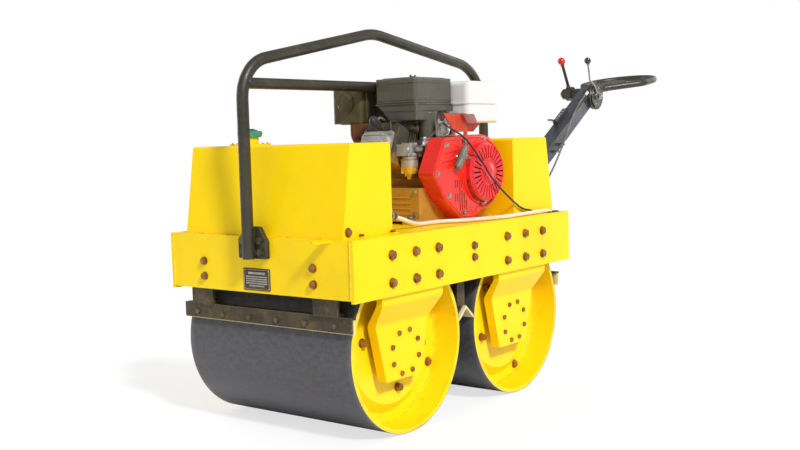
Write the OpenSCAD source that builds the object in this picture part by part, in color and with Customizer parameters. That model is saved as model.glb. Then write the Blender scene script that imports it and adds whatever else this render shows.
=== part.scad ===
// Walk behind vibratory roller with two steel drums, a petrol engine on the deck and a folding tiller.
// +X is forward, away from the tiller, +Y is the operator's left, +Z is up.
// The origin is on the ground, below the middle of the overall box.

/* [Drums] */
// Outside diameter of each drum
drum_d = 480; // [450:1:500]
// Width of each drum
drum_w = 604; // [560:1:640]
// Gap between the two drums
drum_gap = 72; // [66:1:84]
// Wall of the drum shell
shell_t = 12; // [9:0.5:15]
// Depth of the end web below the rim
web_depth = 82; // [76:1:88]
// Rise of the pressed dish above the web
dish_rise = 22; // [16:1:26]
// Radius of the flat of the dish
dish_r = 168; // [160:1:176]
// Radius where the sloping wall of the dish meets the web
dish_foot_r = 196; // [190:1:200]
// Thickness of the end web and dish
web_t = 12; // [8:0.5:14]
// Radius of the circle of dish bolts
dish_bolt_pcr = 128; // [122:1:134]

/* [Chassis] */
// Clear height between the drum tops and the deck plate
deck_clear = 55; // [45:1:70]
// Thickness of the deck, side, front and rear plates
plate_t = 10; // [8:0.5:12]
// Height of the side plates
side_h = 157; // [145:1:165]
// How much higher the lower edge of the end plates lies
end_lift = 6; // [3:0.5:12]
// Gap between a drum end and the side plate
side_gap = 28; // [26:1:34]
// Gap between a drum and the end plate
end_gap = 14; // [12:1:24]
// Inset of the front and rear plates from the ends of the side plates
end_inset = 2; // [1:0.5:4]

/* [Arms] */
// Shift of each arm forward of its axle
arm_shift = 9; // [6:0.5:10]
// Half width of an arm where it is bolted to the side plate
arm_top_hw = 133; // [128:1:138]
// Half width of an arm below its bend
arm_mid_hw = 116; // [110:1:120]
// Half width of an arm at its lower end
arm_low_hw = 76; // [74:1:84]
// Thickness of the arm plate
arm_t = 10; // [8:0.5:11]
// Depth of the stiffening flange round an arm
arm_flange = 28; // [22:1:29]
// Inward offset of the lower half of an arm
arm_offset = 40; // [38:1:44]
// Distance of the lower end of an arm below the axle
arm_drop = 90.5; // [88:0.5:98]
// Pitch of the arm bolts along the side plate
arm_bolt_pitch = 102; // [96:1:106]
// Radius of the circle of flange bolts
flange_bolt_pcr = 60; // [57:0.5:62]
// Distance of the flange bolt circle below the axle
flange_drop = 19; // [14:0.5:20]

/* [Hoods] */
// Height of the front tank and the rear hood
hood_h = 241; // [220:1:250]
// Gap from the hood side to the edge of the deck
hood_side = 48; // [44:1:60]
// Length of the front tank at its base
tank_l = 201; // [190:1:206]
// Length of the rear hood at its base
hood_l = 237; // [225:1:238]
// Distance from the chassis end to the foot of each hood
hood_end = 19; // [16:1:24]
// Slope of the outer face of each hood
hood_slope = 36; // [25:1:44]
// Sheet thickness of both hoods
sheet_t = 4; // [3:0.5:5]
// Diameter of the water filler cap
cap_d = 68; // [60:1:72]

/* [Lift bar] */
// Diameter of the lift bar tube
bar_d = 32; // [28:1:33]
// Height of the peak of the lift bar
bar_peak = 1109; // [1090:1:1125]
// Distance of each post from its chassis end
bar_reach = 26; // [24:1:28]
// Height of the straight cross tube
cross_z = 950; // [940:1:956]
// Bend radius of the front corner
bar_bend_front = 113; // [100:1:130]
// Bend radius of the rear corner
bar_bend_rear = 165; // [150:1:170]

/* [Engine] */
// Crankshaft position in front of the middle of the roller
crank_x = -158; // [-160:1:-154]
// Height of the crankshaft above the deck
crank_h = 143; // [138:1:148]
// Offset of the cylinder from the centre plane
cyl_y = 64; // [60:1:68]
// Lean of the cylinder above level
cyl_lean = 21; // [19:0.5:23]
// Number of cooling fins on the cylinder
fin_count = 9; // [6:1:11]
// Radius of the recoil starter cover
recoil_r = 87; // [82:1:90]
// Number of radial slots in the starter cover
slot_count = 28; // [20:1:30]
// Width of each radial slot
slot_w = 5; // [3:0.5:6]

/* [Handle] */
// Angle of the handle arm above level
arm_angle = 32.5; // [30:0.5:36]
// Length of the handle arm from its pivot
tiller_l = 884; // [860:1:900]
// Width of the handle arm
tiller_w = 60; // [50:1:64]
// Depth of the handle arm
tiller_h = 47; // [40:1:50]
// Diameter of the pivot pin
pin_d = 20; // [16:1:24]
// Half width of the hand ring
ring_hw = 137; // [125:1:150]
// Diameter of the hand ring tube
ring_tube = 25; // [22:1:28]
// Rise of the hand ring above level
ring_rise = 8.6; // [6:0.2:10]

/* [Hidden] */
$fn = 48;

// Overrun of every cut past the face it opens
over = 1;
// Running clearance of a shaft in its bore, on the radius
run_gap = 0.05;
// Gap between curved faces of pieces that move apart
soft_gap = 0.3;
// Swell of the thin collar where a bend meets a straight
collar = 0.1;

// Places along the length, from the middle between the axles
axle_z = drum_d / 2;
axle_x = (drum_d + drum_gap) / 2;
body_hl = axle_x + axle_z + end_gap + plate_t;
body_hw = drum_w / 2 + side_gap + plate_t;
side_in = body_hw - plate_t;
deck_z = drum_d + deck_clear + plate_t;
side_low = deck_z - side_h;
bar_x = body_hl + bar_reach;

face_x = body_hl - end_inset;
end_in = face_x - plate_t;
end_low = side_low + end_lift;

// Tow lug on the front edge of the deck
lug_l = 52;
lug_w = 26;
lug_t = 6;
lug_y = 254;
lug_hole_r = 8;

// Cross box under the deck between the drums
cross_hw = 22;
cross_h = 80;

// Fastener sizes: radius of the shank, of the hexagon's corners, and height of the head
big_bolt = [6, 11.5, 8];
mid_bolt = [5, 9.8, 7];
small_bolt = [4, 7.4, 5.5];
washer_t = 2;
washer_add = 2;
bolt_gap = 0.1;
nut_h = 8;

// Arms and their bolts
arm_top_z = deck_z - plate_t - 2 * over;
bend_rise = 125;
bend_hi = axle_z + bend_rise;
bend_foot = 65;
bend_lo = axle_z + bend_foot;
arm_bend_r = 24;
arm_skin = 8;
rim_gap = 8;
flange_up = side_gap - rim_gap;
arm_face = side_in - arm_offset;
arm_back = arm_face - arm_t;
row_lift = [36, 108];
mid_row_lift = [64, 97];
flange_turn = 18.5;
flange_count = 8;

// Bearing hubs: flange behind the arm and hollow spindle into the drum
hub_edge = 10;
hub_r = flange_bolt_pcr + hub_edge;
hub_t = 12;
spindle_r = 36;
spindle_in = 92;
boss_r = 60;
boss_l = 62;
motor_r = 42;
motor_l = 36;
motor_cap = 6;
port_r = 8;

// Exciter shaft and its two eccentric weights
shaft_r = 20;
weight_r = 96;
weight_in = 36;
weight_t = 58;

// Dish bolts: two pairs across the drum, spread about the diagonal
pair_angle = 36.3;
dish_bolt = [7, 10.5, 13];
dish_angle = 45;
rear_angle = -34.6;

web_y = drum_w / 2 - web_depth;
dish_y = web_y + dish_rise;
boss_in = dish_y - web_t - boss_l;
spindle_end = boss_in - spindle_in / 4;

// Scrapers
scraper_gap = 2;
blade_lift = 64;
blade_h = 41;
blade_t = 6;
leg_t = 6;
beam_short = 3;
beam_over = 9;
beam_hw = drum_w / 2 + beam_over;
blade_z = axle_z + blade_lift;
blade_x = axle_x + sqrt(pow(axle_z + scraper_gap, 2) - pow(blade_lift, 2));
beam_x = blade_x + blade_t + leg_t;
beam_top = blade_z + blade_h + beam_short;
beam_bolts = 6;
beam_bolt_pitch = 103;
beam_bolt_rise = 19;
seat_back = 8;
seat_t = 8;
bracket_in = 188;
bracket_w = 84;
bracket_bolt_y = 204;
bracket_row_lift = [41, 83];
bracket_rise = 110;

// Scraper between the drums: an inverted angle with a blade under each leg
apex_rise = 68;
foot_rise = 35;
apex_z = axle_z + apex_rise;
foot_z = axle_z + foot_rise;
foot_x = axle_x - sqrt(pow(axle_z + scraper_gap, 2) - pow(foot_z - axle_z, 2));
hanger_hw = 18;
hanger_t = 8;
hanger_in = 20;
hanger_y = drum_w / 2 - hanger_in;

// Sprinkler pipes over the drums
pipe_r = 11;
pipe_out = 150;
pipe_drop = 35;
clip_w = 22;
clip_t = 8;
clip_y = 190;

// Hoods
hood_hw = body_hw - hood_side;
hood_top = deck_z + hood_h;
hood_bend = 9;
tank_x = body_hl - hood_end;
filler_in = 119;
filler_x = tank_x - filler_in;
filler_y = -146;
filler_r = 58;
filler_t = 5;
neck_r = 24;
neck_t = 3;
neck_h = 33;
cap_h = 21;
cap_lap = 11;
cap_top = 6;
cap_edge = 1;
spigot_r = 9;
spigot_l = 16;
spigot_in = 30;
spigot_z = 43;

// Lift bar
foot_hw = 51;
foot_top_hw = 26;
foot_lift = [-57, -11, 28];
foot_round = [4, 4, 12, 8, 8, 12];
foot_t = 14;
rear_foot_t = 8;
front_slope = 11.3;
rear_slope = 9.2;
peak_x = 22;
peak_bend = 220;
cross_tube_r = 15;
bar_r = bar_d / 2;
foot_bolt_y = 33;
foot_row_lift = [-40, -8];
rear_foot_hl = 26;
rear_foot_hw = 43;
rear_foot_pitch = 12;
rear_foot_bolt_y = 34;

// Tiller pivot
pivot_out = 60;
pivot_drop = 58;
pivot_x = -body_hl - pivot_out;
pivot_z = deck_z - pivot_drop;
cheek_t = 8;
cheek_gap = 1;
bracket_t = 10;
tiller_tail = 28;
tiller_wall = 5;
pin_head_r = 15;
pin_head_t = 6;
pin_over = 9;
end_x = pivot_x - tiller_l * cos(arm_angle);
end_z = pivot_z + tiller_l * sin(arm_angle);

// Hand ring in its own sloping plane
ring_run = 262;
ring_bend = 186;
ring_corner = 60;
ring_start = 60;
ring_root = 18;
stem_l = 250;
stem_in = 20;
stem_hw = 35;
stem_t = 22;

rear_reach = -end_x + (ring_run + ring_hw) * cos(ring_rise) + ring_tube / 2;
front_reach = body_hl + lug_l;
mid_x = (rear_reach - front_reach) / 2;

// Slot in the deck for the water hose, and the hole for the engine cable
hose_slot = [-498, -454];
hose_slot_y = 315;
hose_slot_r = 8;
cable_hole = [-398, 300, 6];

// Engine case, its sump and its feet on the deck
crank_z = deck_z + crank_h;
case_r = 104;
case_left = 205;
case_right = -8;
case_wall = 8;
sump_back = -100;
sump_front = 243;
sump_h = 105;
engine_foot_h = 8;
engine_foot_over = 16;
engine_foot_w = 50;
coil = [28, 36, 22];
coil_y = 150;

// Crankshaft, flywheel with its fan blades, and the pulley on the far end
crank_r = 17;
crank_right = -106;
flywheel_r = 70;
flywheel_y = 212;
flywheel_t = 16;
fan_r = 92;
fan_t = 30;
fan_blades = 12;
blade_w = 5;
drive_pulley_r = 50;
pulley_y = -100;
pulley_w = 40;
pulley_lip = 6;
groove_depth = 12;

// Cylinder and head, measured along the cylinder from the crankshaft
barrel_r = 52;
fin_from = 122;
fin_to = 212;
fin_t = 4;
fin_gap = 4;
fin_hw = 65;
fin_hh = 62;
head_to = 262;
head_round = 8;
cover_rise = 34;
cover_fall = 56;
cover_hw = 52;
cover_t = 30;
cover_lip = 8;
cover_step = 9;
plug_rise = 48;
plug_r = 7;
plug_cap_r = 11;
plug_l = 40;

// Fan shroud: outline beside the round part, from the crankshaft
shroud_back = 205;
shroud_face = 258;
shroud_r = 112;
shroud_hole_r = 76;
shroud_points = [[46, -135], [110, -131], [190, -72], [245, 2], [216, 54], [186, 104.5], [0, 112],
    [-12, -104]];
shroud_round = [14, 16, 16, 12, 20, 14, 0, 0];
louvre_rows = [[-62, -22], [-84, -52], [-108, -80]];
louvre_pitch = 11;
louvre_w = 5;
louvre_from = 34;
louvre_to = 112;
rim_w = 10;

// Recoil starter cover
recoil_t = 24;
recoil_wall = 3;
recoil_round = 10;
slot_in = 41;
slot_out = 79;
recoil_boss_r = 31;
recoil_boss_t = 2;

// Starter grip on its rope
grip_x = 122;
grip_z = 47;
grip_l = 85;
grip_r = 11;
grip_angle = 37;
grip_out = 16;
rope_r = 3;
rope_gap = 0.3;

// Muffler and exhaust pipe
muffler_x = [-90, 60];
muffler_y = [-138, -22];
muffler_z = [297, 403];
muffler_round = 16;
muffler_wall = 2;
muffler_disc_r = 34;
muffler_disc_t = 4;
muffler_disc_y = -85;
muffler_disc_z = 360;
outlet_r = 12;
outlet_l = 26;
exhaust_r = 17;
exhaust_wall = 3;
exhaust_x = 40;
exhaust_y = -60;
exhaust_z = 240;
exhaust_bend = 30;

// Air cleaner: tray, elbow down to the carburettor, and lid
lid_x = [-141, 42];
lid_y = [18, 172];
lid_z = [348, 425];
lid_round = 12;
lid_wall = 3;
tray_x = -60;
tray_section = [[26, 348], [48, 328], [71, 301], [172, 301], [172, 348]];
tray_shallow = 328;
tray_wall = 3;
tray_side = 8;
neck_x = -33;
neck_y = 156.5;
elbow_r = 27;
elbow_wall = 4;
elbow_low = 250;
elbow_top = 325;
filter_r = [18, 34];
filter_x = -24;
filter_y = 112;
filter_h = 60;
stud_r = 3;
wing_r = 9;
wing_h = 5;
wing_w = 34;
wing_t = 4;
wing_angle = -25;

// Carburettor between the head and the elbow
carb_x = [-56, 64];
carb_y = [129, 165];
carb_z = [194, 236];
manifold_x = 86;
bowl_x = 60;
bowl_y = 155.5;
bowl_r = 25;
bowl_z = [147, 190];
bowl_foot_r = 14;
bowl_foot_h = 8;
bowl_neck_r = 22;
carb_screw_r = 5;
carb_screw_l = 22;

// Fuel tank, its stays and cap
fuel_x = [-312, -150];
fuel_y = [22, 228];
fuel_z = [290, 417];
fuel_seam_rise = 58;
fuel_seam = fuel_z[0] + fuel_seam_rise;
fuel_seam_t = 3;
fuel_seam_over = 3;
fuel_step_x = [-190, -172];
fuel_step = 27;
fuel_round = 22;
fuel_edge_r = [8, 4, 4, 4, 14, 14];
fuel_side_r = 10;
fuel_wall = 3;
fuel_fill_x = -215;
fuel_fill_y = 62;
fuel_neck_r = 20;
fuel_neck_h = 8;
fuel_cap_r = 27;
fuel_cap_h = 16;
fuel_cap_gap = 0.5;
fuel_cap_edge = 3;
stay_w = 16;
stay_t = 4;
stay_y = [60, 186];
stay_points = [[-66, 320], [-150, 317], [-164, 317], [-176, 311], [-190, 290], [-262, 290],
               [-222, 264], [-120, 264]];
stay_leg_x = [-190, -126];
stay_leg_z = 236;

// Governor plate and its levers over the shroud
plate_x = [-64, -16];
plate_y = [201, 204];
plate_z = [251.6, 297];
plate_foot_y = 248;
plate_foot_t = 3;
lever_w = 8;
lever_len = 62;
lever_angle = 24;

// Hydraulic pump beside the engine, driven by a belt
pump_x = 140;
pump_z = 75;
pump_r = 40;
pump_l = 112;
pump_right = -226;
pump_boss_r = 22;
pump_boss_l = 12;
pump_pulley_r = 56;
pump_shaft_r = 10;
pump_foot_hw = 36;
pump_port_r = 9;
pump_port_l = 30;
belt_gap = 0.4;
belt_t = 9;
belt_side_gap = 2;

// Cords: radius and hand-placed route points
white_r = 6;
white_route = [[303, 262, 588], [284, 262, 588], [226, 260, 572], [150, 246, 555], [40, 238, 552.5],
               [-40, 288, 552.5], [-180, 322, 552.5], [-330, 320, 552.5], [-410, 316, 553],
               [-446, 315, 551.5], [-472, 315, 544], [-494, 315, 532], [-512, 315, 518]];
cable_r = 3;
cable_route = [[-24, 215, 836], [-42, 240, 815], [-64, 273, 785], [-104, 299, 719], [-173, 300, 654],
               [-302, 300, 575], [-370, 300, 558], [-394, 300, 548], [-398, 300, 536], [-398, 300, 526]];
throttle_r = 3.5;
grommet_gap = 2;
throttle_route = [[-1221, 52, 951], [-1161, 52, 914], [-1088, 55, 849], [-1017, 60, 764], [-905, 60, 642],
                  [-780, 66, 565], [-660, 76, 563], [-580, 80, 594], [-540, 82, 604], [-500, 82, 605]];
lead_r = 3.5;
lead_route = [[88, 63, 850], [60, 52, 856], [20, 46, 844], [-36, 48, 820], [-92, 80, 802],
    [-116, 148, 796]];

// Control head at the end of the handle, measured along the handle from its pivot
cross_back = 16;
cross_at = tiller_l - cross_back;
cross_r = 20;
cross_out = 85;
disc_back = 43;
disc_at = tiller_l - disc_back;
disc_r = 52;
disc_t = 18;
disc_step = 6;
tab_w = 20;
tab_l = 34;
tab_t = 6;
tab_out = 30;
strip_back = [280, 184];
strip_at = [tiller_l - strip_back[0], tiller_l - strip_back[1]];
strip_y = [-30, -10];
strip_h = 12;
tongue_run = 43;
tongue_rise = 36;
tongue_t = 5;
bush_r = 17;

// Levers: hub, rod and ball
travel_hub_r = 28;
travel_hub_y = [-97, -73];
travel_rod_r = 6;
travel_tip = [68, 128];
travel_ball_r = 15;
throttle_pin_r = 6;
throttle_pin_l = 12;
throttle_hub_r = 14;
throttle_hub_t = 8;
throttle_hub_gap = 0.5;
throttle_rod_r = 3.5;
throttle_bend = [30, 38];
throttle_elbow = [70, 61];
throttle_reach = 85;
throttle_rise = 134;
throttle_tip = [throttle_reach, throttle_rise];
throttle_ball_r = 13;
throttle_knuckle = 0.2;

// Handle bracket on the rear plate
bracket_low = 43;
bracket_edge = 12;
cheek_out = tiller_w / 2 + cheek_gap + cheek_t;
bracket_bolt_out = cheek_out + mid_bolt[1] + washer_add + cheek_gap / 2;
bracket_hw = bracket_bolt_out + bracket_edge;
bracket_rows = [57, 132];
cap_plate_t = 8;
cap_plate_in = 8;
cap_inset = 10;
cheek_l = pivot_out - end_inset;
cheek_h = side_h - bracket_low - cap_plate_t + over;
cheek_nose = 32;
cheek_low = 39;
cheek_toe = [8, 20];
cheek_heel = 44;
cheek_points = [[-cheek_l, 0], [-cheek_l, cheek_h], [0, cheek_h], [cheek_nose, cheek_h - cheek_nose],
                [cheek_nose, cheek_low], cheek_toe, [-cheek_heel, 0]];
throttle_end = throttle_route[len(throttle_route) - 1];
throttle_hole_from = tank_x - hood_slope;
throttle_hole_to = body_hl - hood_end / 2;
throttle_y = tiller_w / 2 + disc_t + throttle_hub_gap;

// Unit vector
function unit(v) = v / norm(v);
// Angle brought into the half turn either way
function half_turn(a) = a > 180 ? a - 360 : a < -180 ? a + 360 : a;
// Outline with each corner rounded to its radius, as n chords
function rounded(p, r, n = 5) = [for (i = [0 : len(p) - 1])
    let (a = p[(i + len(p) - 1) % len(p)], b = p[i], c = p[(i + 1) % len(p)],
         q = is_list(r) ? r[i] : r)
    if (q == 0) b
    else let (u = unit(a - b), v = unit(c - b), h = acos(u * v) / 2,
              m = b + unit(u + v) * q / sin(h), s = b + u * q / tan(h) - m, e = b + v * q / tan(h) - m,
              t0 = atan2(s[1], s[0]), dt = half_turn(atan2(e[1], e[0]) - t0))
        for (k = [0 : n]) m + q * [cos(t0 + dt * k / n), sin(t0 + dt * k / n)]];
// Point on a smooth curve through the route's points
function curve_at(p, i, t) = let (
    a = p[max(i - 1, 0)], b = p[i], c = p[i + 1], d = p[min(i + 2, len(p) - 1)])
    (2 * b + (c - a) * t + (2 * a - 5 * b + 4 * c - d) * t * t + (3 * b - a - 3 * c + d) * t * t * t) / 2;
// Route refined to n steps between its points
function refined(p, n) = concat([for (i = [0 : len(p) - 2], k = [0 : n - 1]) curve_at(p, i, k / n)],
                                [p[len(p) - 1]]);

module at_mid() translate([mid_x, 0, 0]) children();
// Flat outline in X and Z, thick along Y
module along_y(y0, y1) translate([0, y1, 0]) rotate([90, 0, 0]) linear_extrude(y1 - y0) children();
// Flat outline in Y and Z, thick along X
module along_x(x0, x1) translate([x0, 0, 0]) rotate([90, 0, 90]) linear_extrude(x1 - x0) children();
module rod_y(r, y0, y1) translate([0, y0, 0]) rotate([-90, 0, 0]) cylinder(r = r, h = y1 - y0);
module rod_x(r, x0, x1) translate([x0, 0, 0]) rotate([0, 90, 0]) cylinder(r = r, h = x1 - x0);
module block(x0, x1, y0, y1, z0, z1) translate([x0, y0, z0]) cube([x1 - x0, y1 - y0, z1 - z0]);
// Round bar from a to b
module bar(a, b, r) translate(a) let (v = b - a)
    rotate([0, acos(v[2] / norm(v)), atan2(v[1], v[0])]) cylinder(r = r, h = norm(v));
// Round bar bent at the inner points of a flat route in X and Z, each bend of radius big
function heading(p, i) = unit(p[i + 1] - p[i]);
function turn_at(p, i) = acos(heading(p, i - 1) * heading(p, i));
function cut_at(p, i, big) = i == 0 || i == len(p) - 1 ? 0 : big[i - 1] * tan(turn_at(p, i) / 2);
module bent(p, big, r) rotate([90, 0, 0]) {
    for (i = [0 : len(p) - 2]) let (h = heading(p, i), a = p[i] + h * cut_at(p, i, big),
                                    l = norm(p[i + 1] - p[i]) - cut_at(p, i, big) - cut_at(p, i + 1, big))
        translate([a[0], a[1], 0]) rotate([0, 90, atan2(h[1], h[0])]) {
            cylinder(r = r, h = l);
            for (z = [i > 0 ? 0 : l, i < len(p) - 2 ? l : 0]) translate([0, 0, z - over / 2])
                cylinder(r = r + collar, h = over);
        }
    for (i = [1 : len(p) - 2]) let (h = heading(p, i - 1), side = sign(cross(h, heading(p, i))),
                                    out = side * big[i - 1] * [h[1], -h[0]],
                                    c = p[i] - h * cut_at(p, i, big) - out,
                                    a = atan2(out[1], out[0]) - (side < 0 ? turn_at(p, i) : 0))
        translate([c[0], c[1], 0]) rotate([0, 0, a]) rotate_extrude(angle = turn_at(p, i))
            translate([big[i - 1], 0]) circle(r);
}
// Both mirror images across the centre plane
module pair_y() {
    children();
    mirror([0, 1, 0]) children();
}
module pair_x() {
    children();
    mirror([1, 0, 0]) children();
}
// Tube of n sides swept along a route
module tube(p, r, n, ref) {
    m = len(p);
    ring = [for (i = [0 : m - 1]) let (t = unit(p[min(i + 1, m - 1)] - p[max(i - 1, 0)]),
        u = unit(cross(ref, t)), v = cross(t, u)) for (k = [0 : n - 1])
        p[i] + r * (cos(360 * k / n) * u + sin(360 * k / n) * v)];
    polyhedron(ring, concat([[for (k = [0 : n - 1]) n - 1 - k]],
        [for (i = [0 : m - 2], k = [0 : n - 1])
            [i * n + k, i * n + (k + 1) % n, (i + 1) * n + (k + 1) % n, (i + 1) * n + k]],
        [[for (k = [0 : n - 1]) (m - 1) * n + k]]));
}
// Hex bolt pointing along -Y with its head's seat at y = 0
module bolt_y(b, l, nut = false, washer = true) {
    seat = washer ? washer_t : 0;
    if (washer) rod_y(b[1] + washer_add, 0, seat);
    translate([0, seat, 0]) rotate([-90, 0, 0]) cylinder(r = b[1], h = b[2], $fn = 6);
    rod_y(b[0], -l, seat);
    if (nut) translate([0, -l, 0]) rotate([-90, 0, 0]) cylinder(r = b[1], h = nut_h, $fn = 6);
}
module hole_y(b, y0, y1) rod_y(b[0] + bolt_gap, y0, y1);

// Places of the arm bolts on a side plate
module at_arm_bolts() for (s = [-1, 1], k = [-1, 0, 1], z = row_lift)
    translate([s * axle_x + arm_shift + k * arm_bolt_pitch, 0, side_low + z]) children();
module at_mid_bolts() for (z = mid_row_lift) translate([arm_shift, 0, side_low + z]) children();
module at_flange_bolts(s) for (k = [0 : flange_count - 1])
    translate([s * axle_x + flange_bolt_pcr * cos(flange_turn + k * 360 / flange_count), 0,
               axle_z - flange_drop + flange_bolt_pcr * sin(flange_turn + k * 360 / flange_count)])
                   children();
module at_bracket_bolts() for (s = [-1, 1], z = bracket_row_lift)
    translate([0, s * bracket_bolt_y, side_low + z]) children();
module at_front_foot_bolts() for (s = [-1, 1], z = foot_row_lift)
    translate([0, s * foot_bolt_y, deck_z + z]) children();
module at_rear_foot_bolts() for (s = [-1, 1], k = [-1, 1])
    translate([k * rear_foot_pitch - bar_x, s * rear_foot_bolt_y, 0]) children();
module at_handle_bolts() for (z = bracket_rows) translate([0, bracket_bolt_out, side_low + z]) children();

module frame() color([1, 0.86, 0.02]) at_mid() difference() {
    union() {
        pair_y() block(-body_hl, body_hl, side_in, body_hw, side_low, deck_z);
        block(-face_x, face_x, -side_in, side_in, deck_z - plate_t, deck_z);
        pair_x() block(end_in, face_x, -side_in, side_in, end_low, deck_z);
        block(-cross_hw, cross_hw, -side_in, side_in, deck_z - cross_h, deck_z - plate_t);
        tow_lug();
    }
    block(-cross_hw + sheet_t, cross_hw - sheet_t, -side_in + sheet_t, side_in - sheet_t,
          deck_z - cross_h + sheet_t, deck_z - plate_t - sheet_t);
    pair_y() {
        at_arm_bolts() hole_y(big_bolt, side_in - over, body_hw + over);
        at_mid_bolts() hole_y(mid_bolt, side_in - sheet_t - over, body_hw + over);
    }
    pair_x() at_bracket_bolts() rod_x(mid_bolt[0] + bolt_gap, end_in - over, face_x + over);
    at_front_foot_bolts() rod_x(mid_bolt[0] + bolt_gap, end_in - over, face_x + over);
    pair_y() at_handle_bolts() rod_x(mid_bolt[0] + bolt_gap, -face_x - over, -end_in + over);
    for (x = hose_slot) translate([x, hose_slot_y, deck_z - 2 * plate_t])
        cylinder(r = hose_slot_r, h = 3 * plate_t);
    block(hose_slot[0], hose_slot[1], hose_slot_y - hose_slot_r + collar, hose_slot_y + hose_slot_r - collar,
          deck_z - 2 * plate_t, deck_z + plate_t);
    translate([cable_hole[0], cable_hole[1], deck_z - 2 * plate_t])
        cylinder(r = cable_hole[2], h = 3 * plate_t);
    lug_bore();
}

// Flat lug on the front edge of the deck, with the hole that takes a tow shackle
module tow_lug() {
    block(face_x, body_hl + lug_l - lug_w / 2, lug_y - lug_w / 2, lug_y + lug_w / 2, deck_z - lug_t,
        deck_z);
    translate([body_hl + lug_l - lug_w / 2, lug_y, deck_z - lug_t]) cylinder(r = lug_w / 2, h = lug_t);
}
module lug_bore() translate([body_hl + lug_l - lug_w / 2, lug_y, deck_z - lug_t - over])
    cylinder(r = lug_hole_r, h = lug_t + 2 * over);

// Outline of a hood: upright inner face, sloping outer face, rounded top corners
module hood_outline(x0, x1, inset) {
    lean = inset * hood_slope / hood_h;
    polygon(rounded([[x0 + inset, deck_z + inset], [x1 - inset + lean, deck_z + inset],
                     [x1 - hood_slope - inset - lean, hood_top - inset], [x0 + inset, hood_top - inset]],
                    [0, 0, hood_bend - inset / 2, hood_bend - inset / 2]));
}

module front_tank() color([1, 0.84, 0.02]) at_mid() difference() {
    union() {
        along_y(-hood_hw, hood_hw) hood_outline(tank_x - tank_l, tank_x, 0);
        translate([filler_x, filler_y, hood_top - sheet_t]) {
            cylinder(r = filler_r, h = sheet_t + filler_t);
            cylinder(r = neck_r, h = sheet_t + neck_h);
        }
        translate([0, hood_hw - spigot_in, deck_z + spigot_z])
            rod_x(spigot_r, tank_x - tank_l - spigot_l, tank_x - tank_l + sheet_t);
    }
    along_y(-hood_hw + sheet_t, hood_hw - sheet_t) hood_outline(tank_x - tank_l, tank_x, sheet_t);
    translate([filler_x, filler_y, hood_top - 2 * sheet_t])
        cylinder(r = neck_r - neck_t, h = neck_h + 3 * sheet_t);
}

module tank_cap() color([0.1, 0.55, 0.42]) at_mid()
    translate([filler_x, filler_y, hood_top + neck_h - cap_lap]) rotate_extrude() polygon(concat(
        [[0, cap_lap + soft_gap], [neck_r + soft_gap, cap_lap + soft_gap], [neck_r + soft_gap, 0]],
        rounded([[cap_d / 2 - cap_top / 2, 0], [cap_d / 2, cap_top],
            [cap_d / 2 - cap_top / 2, cap_h - cap_top / 2],
                 [neck_r / 2, cap_h]], [cap_edge, cap_top / 2, cap_top / 2, cap_edge], 4),
        [[0, cap_h]]));

module rear_hood() color([1, 0.86, 0.02]) at_mid() mirror([1, 0, 0]) difference() {
    along_y(-hood_hw, hood_hw) hood_outline(tank_x - hood_l, tank_x, 0);
    along_y(-hood_hw + sheet_t, hood_hw - sheet_t) hood_outline(tank_x - hood_l, tank_x, sheet_t);
    block(tank_x - hood_l + sheet_t, tank_x - sheet_t, -hood_hw + sheet_t, hood_hw - sheet_t,
          deck_z - over, deck_z + 2 * sheet_t);
    translate([0, throttle_end[1], throttle_end[2]])
        rod_x(throttle_r + grommet_gap, throttle_hole_from, throttle_hole_to);
}

// How far a bend stands in from the corner line at the height of the cross tube
function bend_in(big, low) = cross_z > low ? big - sqrt(pow(big, 2) - pow(cross_z - low, 2)) : 0;
module lift_bar() color([0.2, 0.2, 0.18]) at_mid() {
    front = [bar_x, bar_peak - (bar_x - peak_x) * tan(front_slope)];
    rear = [-bar_x, bar_peak - (bar_x + peak_x) * tan(rear_slope)];
    route = [[bar_x, deck_z + foot_lift[0]], front, [peak_x, bar_peak], rear,
        [-bar_x, deck_z + rear_foot_t / 2]];
    bends = [bar_bend_front, peak_bend, bar_bend_rear];
    bent(route, bends, bar_r);
    translate([0, 0, cross_z]) rod_x(cross_tube_r,
        -bar_x + bend_in(bar_bend_rear, rear[1] - cut_at(route, 3, bends)),
                                     bar_x - bend_in(bar_bend_front, front[1] - cut_at(route, 1, bends)));
    difference() {
        along_x(face_x, face_x + foot_t) polygon(rounded([for (q = [[-foot_hw, 0], [foot_hw, 0],
            [foot_hw, 1],
            [foot_top_hw, 2], [-foot_top_hw, 2], [-foot_hw, 1]]) [q[0], deck_z + foot_lift[q[1]]]],
                foot_round));
        at_front_foot_bolts() rod_x(mid_bolt[0] + bolt_gap, face_x - over, face_x + foot_t + over);
    }
    difference() {
        block(-bar_x - rear_foot_hl, -bar_x + rear_foot_hl, -rear_foot_hw, rear_foot_hw, deck_z,
            deck_z + rear_foot_t);
        at_rear_foot_bolts() translate([0, 0, deck_z - over])
            cylinder(r = small_bolt[0] + bolt_gap, h = rear_foot_t + 2 * over);
    }
}
module lift_bar_bolts() color([0.75, 0.75, 0.72]) at_mid() {
    at_front_foot_bolts() translate([face_x + foot_t, 0, 0]) rotate([0, 0, -90])
        bolt_y(mid_bolt, foot_t + plate_t - over);
    at_rear_foot_bolts() translate([0, 0, deck_z + rear_foot_t]) rotate([90, 0, 0])
        bolt_y(small_bolt, rear_foot_t + cap_plate_t - over, false, false);
}

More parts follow.
